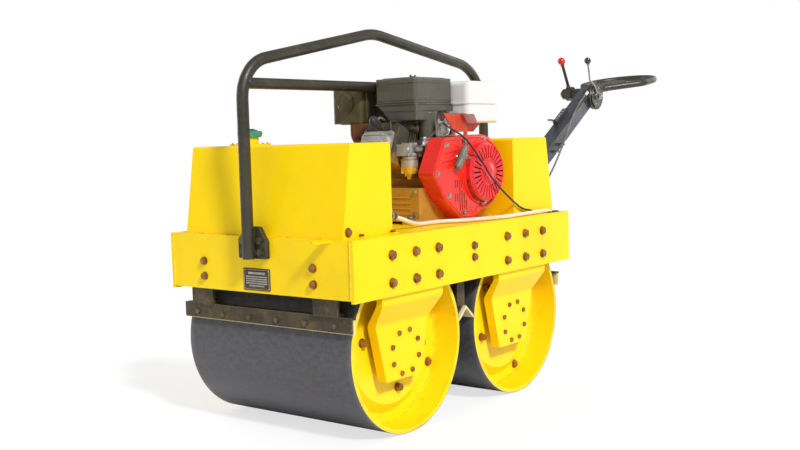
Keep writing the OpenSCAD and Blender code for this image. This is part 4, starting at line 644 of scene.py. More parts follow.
FINISHES: dict[str, Finish] = {f.name: f for f in (
    Finish("yellow_paint", YELLOW, YELLOW_TONE, (0.26, 0.4), coat=0.03, specular=0.2, patch=3.5, grain=240,
        relief=0.00012, dirt=(128, 104, 62, 0.1), worn=(160, 128, 50, 0.4, 0.0028),
        nodes="frame front_arm_left front_arm_right rear_arm_left rear_arm_right"),
    Finish("hood_paint", (255, 218, 1), (253, 209, 0), (0.26, 0.4), coat=0.03, specular=0.2, patch=2.4, grain=200,
        relief=0.00016, dirt=(128, 104, 62, 0.08), worn=(170, 136, 50, 0.4, 0.004), slot="yellow_paint",
        nodes="front_tank rear_hood"),
    Finish("dark_paint", (54, 50, 34), (38, 36, 26), (0.34, 0.52), coat=0.05, patch=9, dirt=(120, 112, 92, 0.22),
        worn=(150, 146, 132, 0.7, 0.002), nodes="lift_bar handle_bracket hand_ring"),
    Finish("tiller_paint", (62, 66, 74), (44, 46, 50), (0.3, 0.46), coat=0.2, patch=7, dirt=(112, 104, 84, 0.2),
        worn=(150, 148, 140, 0.7, 0.002), nodes="handle_arm"),
    Finish("beam_paint", (74, 60, 32), (48, 38, 20), (0.45, 0.65), patch=11, relief=0.0004, dirt=(136, 112, 70, 0.5),
        worn=(150, 140, 118, 0.7, 0.0025), nodes="scraper_beams"),
    PlatedFinish("plated_bolt", (172, 124, 62), (128, 86, 42), (0.28, 0.45), metallic=0.55, patch=40, relief=0.00025,
        dirt=(66, 40, 20, 0.5), slot="zinc", nodes="chassis_bolts_left chassis_bolts_right flange_bolts_left "
        "flange_bolts_right front_dish_bolts rear_dish_bolts"),
    PlatedFinish("dark_bolt", (112, 104, 84), (76, 70, 56), (0.3, 0.48), metallic=0.6, patch=40, relief=0.00025,
        dirt=(60, 46, 28, 0.4), rust=(84, 56, 32), rust_share=0.4, nodes="lift_bar_bolts scraper_bolts"),
    PlatedFinish("bright_bolt", (196, 196, 190), (150, 150, 146), (0.25, 0.4), metallic=0.9, patch=40, relief=0.00025,
        rust=(96, 74, 52), rust_share=0.35, slot="zinc"),
    CastFinish("hub_casting", (176, 150, 40), (120, 104, 40), (0.45, 0.6), patch=12, relief=0.0004,
        dirt=(60, 50, 30, 0.5), nodes="front_hub_left rear_hub_left"),
    CastFinish("motor_casting", (62, 62, 60), (40, 40, 40), (0.4, 0.55), metallic=0.4, patch=14, relief=0.0004,
        dirt=(98, 84, 60, 0.3), worn=(150, 148, 142, 0.7, 0.003), slot="motor_iron",
        nodes="front_hub_right rear_hub_right pump"),
    Finish("turned_steel", (168, 168, 170), (128, 128, 132), (0.22, 0.4), metallic=0.95, patch=20,
        stretch=(1.0, 14, 1.0), dirt=(84, 66, 46, 0.25),
        nodes="front_exciter rear_exciter flywheel pump_pulley handle_pin"),
    Finish("blade_plastic", (240, 226, 178), (222, 204, 150), (0.4, 0.55), sheen=0.1, patch=14, relief=0.0003,
        dirt=(126, 104, 70, 0.4), worn=(170, 150, 110, 0.7, 0.003), nodes="scraper_blades"),
    Finish("pipe_paint", (70, 70, 64), (52, 52, 48), (0.4, 0.55), patch=10, relief=0.00025, dirt=(128, 104, 62, 0.4),
        worn=(140, 136, 124, 0.7, 0.003), nodes="sprinkler_pipes"),
    # The engine casting's orange-yellow below its height is painted reflection of the yellow deck
    LayeredFinish("engine_casting", (96, 90, 76), (66, 62, 52), (0.36, 0.52), metallic=0.4, patch=10, relief=0.0005,
        dirt=(84, 58, 24, 0.35), worn=(196, 184, 150, 0.7, 0.003), low=(206, 156, 58), height=0.735, blur=0.03,
        slot="cast_aluminium", nodes="engine_block"),
    CastFinish("bright_casting", (206, 206, 200), (166, 166, 160), (0.3, 0.48), metallic=0.6, patch=16, relief=0.0003,
        dirt=(92, 84, 70, 0.3), slot="cast_aluminium", nodes="head_cover carburettor"),
    Finish("red_paint", (236, 34, 30), (214, 22, 22), (0.22, 0.36), coat=0.4, patch=5, grain=260, relief=0.0001,
        dirt=(90, 30, 24, 0.12), worn=(255, 120, 96, 0.55, 0.0035), slot="red_plastic"),
    Finish("shroud_paint", (240, 40, 30), (222, 44, 16), (0.22, 0.36), coat=0.3, patch=7, grain=260, relief=0.0001,
        dirt=(120, 34, 14, 0.15), worn=(255, 130, 104, 0.55, 0.0035), nodes="fan_shroud"),
    Finish("recoil_paint", (240, 34, 38), (222, 20, 30), (0.2, 0.34), coat=0.45, patch=8, relief=0.0001,
        dirt=(96, 20, 20, 0.15), worn=(255, 130, 130, 0.6, 0.0018), slot="red_plastic", nodes="recoil_cover"),
    Finish("stay_paint", (222, 78, 34), (196, 60, 26), (0.35, 0.5), coat=0.2, patch=9, relief=0.00025,
        dirt=(96, 44, 26, 0.3), worn=(240, 150, 100, 0.7, 0.003), nodes="tank_stays"),
    Finish("grip_plastic", (128, 125, 108), (84, 82, 70), (0.3, 0.45), coat=0.1, patch=40, dirt=(60, 58, 46, 0.3),
        worn=(206, 204, 192, 0.7, 0.002), slot="black_rubber", nodes="starter_grip"),
    Finish("grip_rubber", (40, 40, 40), (26, 26, 26), (0.4, 0.6), sheen=0.2, patch=18, relief=0.0003,
        worn=(110, 110, 108, 0.7, 0.002), slot="black_rubber"),
    Finish("black_plastic", (88, 85, 72), (68, 66, 54), (0.24, 0.38), coat=0.5, patch=7, grain=700, relief=0.00012,
        rounded=0.007, dirt=(112, 104, 84, 0.16), worn=(150, 150, 144, 0.6, 0.004), slot="black_plastic",
        nodes="air_box air_lid"),
    Finish("muffler_steel", (96, 86, 50), (62, 56, 34), (0.32, 0.55), metallic=0.3, patch=12, relief=0.0004,
        dirt=(96, 62, 36, 0.4), worn=(140, 130, 110, 0.7, 0.0025), slot="motor_iron", nodes="muffler"),
    Finish("hot_pipe", (122, 74, 42), (86, 50, 32), (0.5, 0.75), metallic=0.35, patch=22, relief=0.0005,
        dirt=(60, 40, 30, 0.5), slot="rusty_steel", nodes="exhaust_pipe"),
    Finish("tank_enamel", (232, 232, 229), (225, 225, 220), (0.16, 0.28), coat=0.3, patch=4, relief=0.0001,
        dirt=(150, 140, 116, 0.06), worn=(196, 190, 178, 0.3, 0.0015), nodes="fuel_tank"),
    Finish("cap_plastic", (36, 36, 36), (24, 24, 24), (0.3, 0.45), patch=20, worn=(104, 104, 100, 0.7, 0.003),
        slot="black_plastic", nodes="fuel_cap"),
    Finish("green_plastic", (70, 166, 132), (52, 142, 110), (0.28, 0.42), coat=0.2, patch=14,
        dirt=(120, 128, 96, 0.2), worn=(110, 196, 168, 0.7, 0.002), slot="green_plastic", nodes="tank_cap"),
    # The float bowl's yellow below its height is painted reflection of the yellow deck
    LayeredFinish("bowl_metal", (206, 206, 196), (176, 174, 160), (0.26, 0.42), metallic=0.55, patch=24,
        dirt=(96, 70, 26, 0.3), nodes="float_bowl"),
    PlatedFinish("brass", (222, 176, 70), (184, 140, 52), (0.25, 0.4), metallic=0.85, relief=0.00025,
        dirt=(80, 58, 30, 0.3), rust=(120, 84, 40), rust_share=0.3, slot="brass_bowl"),
    Finish("white_zinc", (222, 222, 216), (190, 190, 182), (0.25, 0.4), metallic=0.4, patch=40, relief=0.00025,
        dirt=(110, 100, 80, 0.3), worn=(240, 240, 236, 0.7, 0.001), slot="zinc"),
    Finish("sheet_zinc", (186, 184, 176), (150, 148, 142), (0.3, 0.46), metallic=0.85, patch=18, relief=0.00025,
        dirt=(104, 88, 64, 0.3), worn=(214, 212, 206, 0.7, 0.003), slot="bare_steel",
        nodes="governor_plate throttle_lever"),
    Finish("belt_rubber", (30, 30, 30), (20, 20, 20), (0.6, 0.8), sheen=0.2, patch=24, relief=0.0004,
        dirt=(70, 66, 60, 0.3), slot="black_rubber", nodes="drive_belt"),
    Finish("hub_red_brown", (128, 56, 38), (96, 42, 30), (0.4, 0.6), patch=24, relief=0.00025, dirt=(60, 34, 24, 0.4),
        worn=(170, 120, 96, 0.7, 0.003), slot="black_paint"),
    Finish("red_ball", (226, 30, 22), (204, 22, 18), (0.12, 0.2), coat=0.6, relief=0.00005, dirt=(120, 24, 18, 0.1),
        nodes="travel_knob"),
    Finish("grey_ball", (50, 50, 56), (36, 36, 40), (0.14, 0.24), coat=0.5, relief=0.00005, dirt=(90, 90, 88, 0.12),
        nodes="throttle_knob"),
    Finish("head_paint", (50, 48, 38), (36, 34, 28), (0.3, 0.46), coat=0.2, patch=16, relief=0.00025,
        dirt=(104, 96, 74, 0.25), worn=(150, 146, 128, 0.7, 0.002), slot="black_paint",
        nodes="control_head travel_lever"),
    Finish("bare_plate", (92, 78, 46), (66, 56, 34), (0.28, 0.42), metallic=0.6, grain=500, relief=0.0001,
        dirt=(110, 96, 70, 0.3), worn=(190, 184, 170, 0.7, 0.0012), slot="bare_steel"),
    Finish("weld_metal", (247, 214, 10), (222, 184, 10), (0.3, 0.5), coat=0.2, patch=60, relief=0.0004,
        dirt=(120, 92, 34, 0.35), slot="yellow_paint"),
    Finish("dark_weld", (58, 55, 46), (38, 36, 32), (0.4, 0.6), patch=60, relief=0.0004, dirt=(110, 92, 66, 0.3),
        slot="black_paint"),
    Finish("hose_white", (240, 224, 212), (226, 206, 190), (0.25, 0.4), coat=0.2, patch=16, grain=300,
        dirt=(150, 124, 96, 0.25), slot="white_rubber", nodes="white_hose"),
    WovenFinish("cable_black", (28, 28, 28), (18, 18, 18), (0.4, 0.55), sheen=0.1, dirt=(84, 76, 60, 0.25),
        slot="black_rubber", nodes="engine_cable"),
    WovenFinish("cable_grey", (120, 118, 112), (92, 90, 86), (0.35, 0.5), dirt=(84, 76, 60, 0.25), slot="grey_rubber",
        nodes="throttle_cable"),
    Finish("lead_rubber", (150, 142, 124), (120, 112, 98), (0.4, 0.6), dirt=(70, 60, 46, 0.3), slot="lead_rubber",
        nodes="spark_lead"),
    Finish("fuel_line", (52, 48, 44), (36, 34, 32), (0.3, 0.45), coat=0.2, dirt=(96, 84, 66, 0.2),
        slot="black_rubber"),
)}


def link(name: str, data: bpy.types.ID, place: Optional[Matrix] = None) -> bpy.types.Object:
    """Makes an object of some data in the scene's collection, at the origin or at a place."""
    made = bpy.data.objects.new(name, data)
    bpy.context.scene.collection.objects.link(made)
    if place is not None:
        made.matrix_world = place
    return made


class Workshop:
    """Keeps the finished materials, and turns surfaces into pieces that ride on the part's bodies."""

    def __init__(self) -> None:
        """Builds every material once."""
        self.materials = {name: finish.build() for name, finish in FINISHES.items()}
        self.waiting: list[tuple[str, Surface, str, str]] = []

    def dress(self, name: str, material: bpy.types.Material) -> None:
        """Gives one CAD node its material."""
        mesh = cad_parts[name].data
        mesh.materials.clear()
        mesh.materials.append(material)

    def dress_nodes(self) -> None:
        """Gives each CAD node the finish that names it."""
        for name, finish in FINISHES.items():
            for node in finish.nodes.split():
                self.dress(node, self.materials[name])

    def put(self, name: str, data: bpy.types.ID, finish: str, body: Optional[str]) -> bpy.types.Object:
        """Makes the object of a mesh or a curve.

        Args:
            name: the piece's name.
            data: its mesh or curve.
            finish: name of its finish.
            body: the body that it rides on, or none for a piece that runs between two bodies and stays on neither.
        Returns:
            The object.
        """
        data.materials.append(self.materials[finish])
        made = link(name, data)
        if body is not None:
            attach(made, body)
        return made

    def make(self, name: str, surface: Surface, finish: str, body: Optional[str]) -> bpy.types.Object:
        """Makes one piece of a surface, whose normals are smooth except across sharp edges."""
        mesh = bpy.data.meshes.new(name)
        points, faces = np.vstack(surface.points), np.vstack(surface.faces)
        mesh.from_pydata(points.tolist(), [], faces.tolist())
        work = bmesh.new()
        work.from_mesh(mesh)
        bmesh.ops.remove_doubles(work, verts=work.verts, dist=1e-6)
        bmesh.ops.dissolve_degenerate(work, edges=work.edges, dist=1e-7)
        bmesh.ops.recalc_face_normals(work, faces=work.faces)
        work.to_mesh(mesh)
        work.free()
        mesh.polygons.foreach_set("use_smooth", np.ones(len(mesh.polygons), bool))
        mesh.set_sharp_from_angle(angle=math.radians(SHARP))
        LOG.info("%s: %d faces on %s", name, len(mesh.polygons), body or "two bodies")
        return self.put(name, mesh, finish, body)

    def piece(self, name: str, finish: str, body: str = "chassis") -> Surface:
        """Starts a piece, which is made once its surface is full.

        Args:
            name: the piece's name.
            finish: name of its finish.
            body: the body that it rides on.
        Returns:
            Its surface, to be filled.
        """
        surface = Surface()
        self.waiting.append((name, surface, finish, body))
        return surface

    def make_all(self) -> None:
        """Makes the pieces that were started, in their order."""
        for name, surface, finish, body in self.waiting:
            self.make(name, surface, finish, body)
        self.waiting.clear()


@dataclass
class Camera:
    """Camera at the photograph's viewing angle."""

    place: Point = (3.128810, 2.062181, 0.795387)
    azimuth: float = 128.054929
    elevation: float = 4.605313
    roll: float = -1.598457
    lens: float = 48.5636

    def build(self) -> None:
        """Makes the camera, its three axes worked out from its azimuth, elevation and roll."""
        a, e, r = (math.radians(v) for v in (self.azimuth, self.elevation, self.roll))
        back = np.array([math.sin(a) * math.cos(e), -math.cos(a) * math.cos(e), math.sin(e)])
        right = np.array([math.cos(a), math.sin(a), 0.0])
        up = np.cross(back, right)
        tilted = right * math.cos(r) + up * math.sin(r)
        upper = -right * math.sin(r) + up * math.cos(r)
        data = bpy.data.cameras.new("photo_camera")
        data.lens, data.sensor_width, data.sensor_fit = self.lens, 36.0, "HORIZONTAL"
        data.clip_start, data.clip_end = 0.05, 60.0
        world = np.eye(4)
        world[:3] = np.stack([tilted, upper, back, self.place], axis=1)
        bpy.context.scene.camera = link("photo_camera", data, Matrix(world.tolist()))


@dataclass
class Studio:
    """Pale floor, white surround and soft lamps."""

    ambient: float = 0.42
    sun: float = 2.8
    sun_from: Point = (0.29, 0.72, 0.63)
    half_floor: float = 15.0
    lamp_size: float = 3.0
    lamps: tuple[tuple[str, Point, Point, float], ...] = (
        ("front_fill", (5.5, 0.6, 1.2), (0.9, 0.0, 0.5), 8.0),
        ("right_fill", (0.5, -5.0, 2.2), (0.5, 0.0, 0.6), 80.0),
        ("rear_fill", (-4.5, 1.0, 2.2), (0.2, 0.0, 0.6), 50.0))

    def surround(self) -> None:
        """Makes the surround: soft light on the machine, and plain white where the camera sees it."""
        world = bpy.data.worlds.new("surround")
        bpy.context.scene.world = world
        world.use_nodes = True
        tree = world.node_tree
        tree.nodes.clear()
        rays = add_node(tree, "LightPath").outputs
        seen = add_node(tree, "Math", {0: rays["Is Camera Ray"], 1: rays["Is Transmission Ray"]}, operation="MAXIMUM")
        light, white = (add_node(tree, "Background", {"Color": colour, "Strength": power}).outputs[0]
                        for colour, power in (((0.97, 0.98, 1.0, 1.0), self.ambient), ((1.0, 1.0, 1.0, 1.0), 1.0)))
        both = add_node(tree, "MixShader", {0: seen.outputs[0], 1: light, 2: white})
        add_node(tree, "OutputWorld", {"Surface": both.outputs[0]})

    def lights(self) -> None:
        """Makes the sun, and square lamps that each point from one place at another."""
        sun = bpy.data.lights.new("key", "SUN")
        sun.energy, sun.angle = self.sun, math.radians(8.0)
        link("key", sun, Vector(self.sun_from).to_track_quat("Z", "Y").to_matrix().to_4x4())
        for name, place, target, power in self.lamps:
            lamp = bpy.data.lights.new(name, "AREA")
            lamp.size, lamp.energy = self.lamp_size, power
            turn = (Vector(target) - Vector(place)).to_track_quat("-Z", "Y").to_matrix().to_4x4()
            link(name, lamp, Matrix.Translation(place) @ turn)

    def floor(self) -> None:
        """Makes the floor: a plane whose lit white is mixed with plain white where the camera sees it."""
        half = self.half_floor
        mesh = bpy.data.meshes.new("floor")
        mesh.from_pydata([(x, y, 0) for x, y in corners(-half, -half, half, half)], [], [(0, 1, 2, 3)])
        g = Graph("floor_white")
        pale = g.node("Mix", {0: g.noise(g.place(), 3.0, 3.0), 6: (0.9, 0.9, 0.9, 1.0), 7: (0.94, 0.94, 0.94, 1.0)},
                      data_type="RGBA").outputs[2]
        diffuse = g.node("BsdfDiffuse", {"Color": pale})
        glow = g.node("Emission", {"Color": (1.0, 1.0, 1.0, 1.0), "Strength": 1.06})
        share = g.math("MULTIPLY", g.node("LightPath").outputs["Is Camera Ray"], 0.66)
        both = g.node("MixShader", {0: share, 1: diffuse.outputs[0], 2: glow.outputs[0]})
        g.node("OutputMaterial", {"Surface": both.outputs[0]})
        mesh.materials.append(g.material)
        link("floor", mesh)

    def build(self) -> None:
        """Makes the surround, the lamps and the floor."""
        bpy.context.scene.view_settings.view_transform = "Standard"
        self.surround()
        self.lights()
        self.floor()


@dataclass(frozen=True)
class Cord:
    """A cord: its name, its finish, its radius, points of its middle line, and how finely they are joined."""

    name: str
    finish: str
    radius: float
    points: tuple[Point, ...]
    steps: int
    stiffness: str = "medium"
    lay: str = "loose"

    def route(self) -> np.ndarray:
        """Smooth middle line through the points."""
        return smooth_route(self.points, self.steps)

    def curve(self, shop: Workshop, name: str) -> bpy.types.Object:
        """Makes the cord on the chassis, as a curve of one open spline."""
        route = self.route()
        data = bpy.data.curves.new(name, "CURVE")
        data.dimensions, data.bevel_depth, data.bevel_resolution = "3D", self.radius, 3
        data.use_fill_caps = True
        spline = data.splines.new("POLY")
        spline.points.add(len(route) - 1)
        spline.points.foreach_set("co", np.hstack([route, np.ones((len(route), 1))]).ravel())
        return shop.put(name, data, self.finish, "chassis")

    def tell(self, made: bpy.types.Object, **more: object) -> None:
        """Does nothing; the made object and the other values are not used."""


HOSE = Cord("white_hose", "hose_white", 0.006, tuple(at(*q) for q in (
    (303, 262, 588), (284, 262, 588), (226, 260, 572), (150, 246, 555), (40, 238, 552.5), (-40, 288, 552.5),
    (-180, 322, 552.5), (-330, 320, 552.5), (-410, 316, 553), (-446, 315, 551.5), (-472, 315, 544),
    (-494, 315, 532), (-512, 315, 518))), 3)
CABLE = Cord("engine_cable", "cable_black", 0.003, tuple(at(*q) for q in (
    (-24, 215, 836), (-42, 240, 815), (-64, 273, 785), (-104, 299, 719), (-173, 300, 654), (-302, 300, 575),
    (-370, 300, 558), (-394, 300, 548), (-398, 300, 536), (-398, 300, 526))), 4, "stiff")
LEAD = Cord("spark_lead", "lead_rubber", 0.0035, tuple(at(*q) for q in (
    (88, 63, 850), (60, 52, 856), (20, 46, 844), (-36, 48, 820), (-92, 80, 802), (-116, 148, 796))), 6)
THROTTLE = Cord("throttle_cable", "cable_grey", 0.0035, tuple(at(*q) for q in (
    (-1221, 52, 951), (-1161, 52, 914), (-1088, 55, 849), (-1017, 60, 764), (-905, 60, 642), (-780, 66, 565),
    (-660, 76, 563), (-580, 80, 594), (-540, 82, 604), (-500, 82, 605))), 4, "stiff", "hanging")
FUEL_LINE = Cord("fuel_line", "fuel_line", 0.0035, tuple(deck(*q) for q in (
    (-162, 150, 297), (-162, 151, 282), (-150, 155, 262), (-120, 158, 238), (-85, 156, 222), (-56, 150, 216))), 7)


def replace_cords(shop: Workshop) -> None:
    """Makes the water hose, the two control cables and the ignition lead in place of their CAD solids."""
    for cord in (HOSE, CABLE, LEAD):
        made = cord.curve(shop, cord.name + "_cord")
        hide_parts(cord.name)
        cord.tell(made)
    route = THROTTLE.route()
    surface = Surface()
    surface.tube(route, THROTTLE.radius, 10, up=Axis.Y)
    made = shop.make("throttle_cable_cord", surface, THROTTLE.finish, None)
    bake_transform(made)
    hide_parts("throttle_cable")
    THROTTLE.tell(made, path=route.tolist())


@dataclass
class Chassis:
    """Weld beads, tacks, the bare nameplate, hood fastenings, tank cap ribs, nozzles and grommets."""

    front: float = 538.0
    side: float = 330.0
    hood_side: float = 292.0
    tack_height: float = 545.8
    plate_height: float = 430.5
    pipe: float = 426.0
    pipe_end: float = 280.0
    pipe_height: float = 500.0
    filler: tuple[float, float] = (402.0, -146.0)

    def nameplate(self, shop: Workshop) -> None:
        """Makes a bare plate with a raised rim, six empty fields and four rivets."""
        x, z = self.front, self.plate_height
        shop.piece("nameplate", "bare_plate").slab(at(x + 0.9, 0, z), (0.1, 0.06, 0.0018), 0.0006, Axis.X, 0.004)
        rim = shop.piece("nameplate_fields", "sheet_zinc")
        rim.outline([at(x + 1.9, y, z + dz) for y, dz in corners(-46, -26, 46, 26)], 0.004, 0.0008, 6, Axis.X)
        for dz, width, tall in ((17, 62, 6), (7.5, 78, 3.4), (1.5, 78, 3.4), (-4.5, 78, 3.4), (-10.5, 78, 3.4),
                                (-17, 56, 4)):
            rim.slab(at(x + 1.9, 0, z + dz), (width / 1000, tall / 1000, 0.0008), 0.0003, Axis.X)
        rivets = shop.piece("nameplate_rivets", "bright_bolt")
        for sy, sz in SIGNS:
            rivets.screw(at(x + 1.6, sy * 45, z + sz * 25), Axis.X, 0.0024)

    def welds(self, shop: Workshop) -> None:
        """Makes the beads where the end plates meet the sides, at the lug, and the tacks along the hoods."""
        beads = shop.piece("plate_welds", "weld_metal")
        for seed, (sx, sy) in enumerate(SIGNS, 1):
            x, y = sx * (self.front + 0.4), sy * (self.side - 1.2)
            beads.weld(straight(at(x, y, 397), at(x, y, 542)), 0.0028, seed, Axis.Y)
        beads.weld(straight(at(self.front, 242, 538.6), at(self.front, 266, 538.6)), 0.0026, 9)
        tacks: list[tuple[float, ...]] = []
        for sx in (-1, 1):
            for x in (340, 400, 462):
                tacks += [(sx * x, y, sx * (x + 24), y) for y in (-(self.hood_side + 0.8), self.hood_side + 0.8)]
            tacks += [(sx * 521.8, y, sx * 521.8, y + 30) for y in (-240, -130, -20, 90, 200)]
        for seed, (x0, y0, x1, y1) in enumerate(tacks, len(SIGNS) + 1):
            beads.weld(straight(at(x0, y0, self.tack_height), at(x1, y1, self.tack_height)), 0.0024, seed)

    def fastenings(self, shop: Workshop) -> None:
        """Makes the hoods' foot tabs with their bolts, the filler's screws and the drain plug."""
        tabs, bolts = shop.piece("hood_tabs", "hood_paint"), shop.piece("hood_screws", "plated_bolt")
        for sx, sy in SIGNS:
            for x in (328, 456):
                place = sx * x, sy * (self.hood_side + 8)
                tabs.slab(at(*place, 547), (0.016, 0.03, 0.004), 0.0012, Axis.Z, 0.004)
                bolts.bolt(at(*place, 549), Axis.Z, 0.0062, 0.005, x)
        for _, dx, dy in around(50, 6, 30):
            bolts.screw(at(self.filler[0] + dx, self.filler[1] + dy, 791), Axis.Z, 0.0042)
        bolts.bolt(at(500, self.hood_side, 562), Axis.Y, 0.0095, 0.007, 12)
        ribs = shop.piece("tank_cap_ribs", "green_plastic", "tank_cap")
        seat = at(*self.filler, 808)
        ribs.turned([(0.0325, 0.0065), (0.0344, 0.0075), (0.0344, 0.0165), (0.0325, 0.0175)], seat, Axis.Z, 120,
                    ribs=0.02)
        ribs.turned([(0.021, 0.0195), (0.021, 0.0216), (0.019, 0.0222), (0.004, 0.0222)], seat, Axis.Z, 40)
        ribs.slab(at(*self.filler, 831), (0.034, 0.007, 0.004), 0.0015)

    def nozzles(self, shop: Workshop) -> None:
        """Makes the spray nozzles under both pipes and the caps at the pipes' ends."""
        made = shop.piece("spray_nozzles", "brass")
        for x in (-self.pipe, self.pipe):
            for y in range(-245, 246, 70):
                made.turned([(0.006, 0.0), (0.006, 0.006), (0.0045, 0.007), (0.0032, 0.014), (0.0012, 0.0145)],
                            at(x, y, self.pipe_height - 10), Axis.DOWN, 12, corners=6)
            for sy, axis in SIDES:
                made.turned([(0.0125, -0.012), (0.0125, 0.0), (0.0105, 0.003), (0.005, 0.0036)],
                            at(x, sy * self.pipe_end, self.pipe_height), axis, 20)

    def grommets(self, shop: Workshop) -> None:
        """Makes the rubber rings where the hose and the cables pass through sheet, and the hose's cuff and clamp."""
        rubber = shop.piece("rubber_rings", "belt_rubber")
        rubber.outline([at(x, y, 546.4) for x, y in corners(-507.5, 305.5, -444.5, 324.5)], 0.0092, 0.0024)
        rubber.ring(at(-398, 300, 546.4), Axis.Z, 0.0066, 0.0024, 8, 28)
        rubber.ring(at(-512.5, 82, 605), (1.0, 0.0, 0.1), 0.0066, 0.0022, 8, 28)
        cuff = smooth_route([at(318, 262, 588), at(303, 262, 588), at(284, 262, 588), at(266, 261.8, 585)], 4)
        rubber.tube(cuff, np.interp(np.linspace(0, 1, len(cuff)), [0, 0.1, 0.8, 1], [0.0098, 0.0108, 0.0104, 0.0072]),
                    16)
        band = shop.piece("hose_clamps", "bright_bolt")
        for x in (311, 291):
            band.collar(at(x, 262, 588), Axis.BACK, 0.0105, 0.0122, 0.006)
            band.slab(at(x - 3, 262, 601.5), (0.011, 0.007, 0.007), 0.0014, Axis.Y)

    def build(self, shop: Workshop) -> None:
        """Makes every detail of the chassis."""
        for make in (self.nameplate, self.welds, self.fastenings, self.nozzles, self.grommets):
            make(shop)


@dataclass
class LiftBar:
    """Weld beads of the lift bar's feet and cross tube."""

    post: float = 566.0
    tube: float = 16.0
    cross: float = 950.0
    foot: float = 552.5

    def build(self, shop: Workshop) -> None:
        """Makes the beads."""
        beads = shop.piece("lift_bar_welds", "dark_weld")
        for sy in (-1, 1):
            ends = (at(self.foot, sy * 11.5, z) for z in (491, 571))
            beads.weld(straight(*ends), 0.0028, 30 + sy, Axis.Y)
        beads.weld(circle(at(-self.post, 0, 553.6), Axis.Z, 0.0172), 0.003, 33, loop=True)
        for sx in (-1, 1):
            end = at(sx * (self.post - self.tube + 1.5), 0, self.cross)
            beads.weld(circle(end, Axis.X, 0.0153), 0.0026, 35 + sx, Axis.X, True)


@dataclass
class Drums:
    """Weld rings and plugs of both drums."""

    axle: float = 276.0
    height: float = 240.0
    web: float = 220.0
    plug_ring: float = 211.0
    rear_turn: float = 34.6

    def build(self, shop: Workshop) -> None:
        """Makes the details, which turn with each drum."""
        for sx, body in ((1, "front_drum"), (-1, "rear_drum")):
            beads = shop.piece(body + "_welds", "weld_metal", body)
            plugs = shop.piece(body + "_plugs", "plated_bolt", body)
            for sy, axis in SIDES:
                for out, radius, count, thick, seed, pitch in ((0.6, 0.2272, 240, 0.0036, 50, 0.007),
                                                               (22.4, 0.0385, 60, 0.0026, 60, 0.006)):
                    line = circle(at(sx * self.axle, sy * (self.web + out), self.height), Axis.Y, radius, count)
                    beads.weld(line, thick, seed + sy + sx, Axis.Y, True, pitch)
                for a in (205, 25):
                    t = math.radians(a + (self.rear_turn if sx < 0 else 0))
                    dx, dz = self.plug_ring * math.cos(t), self.plug_ring * math.sin(t)
                    plugs.bolt(at(sx * self.axle + dx, sy * self.web, self.height + dz), axis, 0.0105, 0.008, 10)


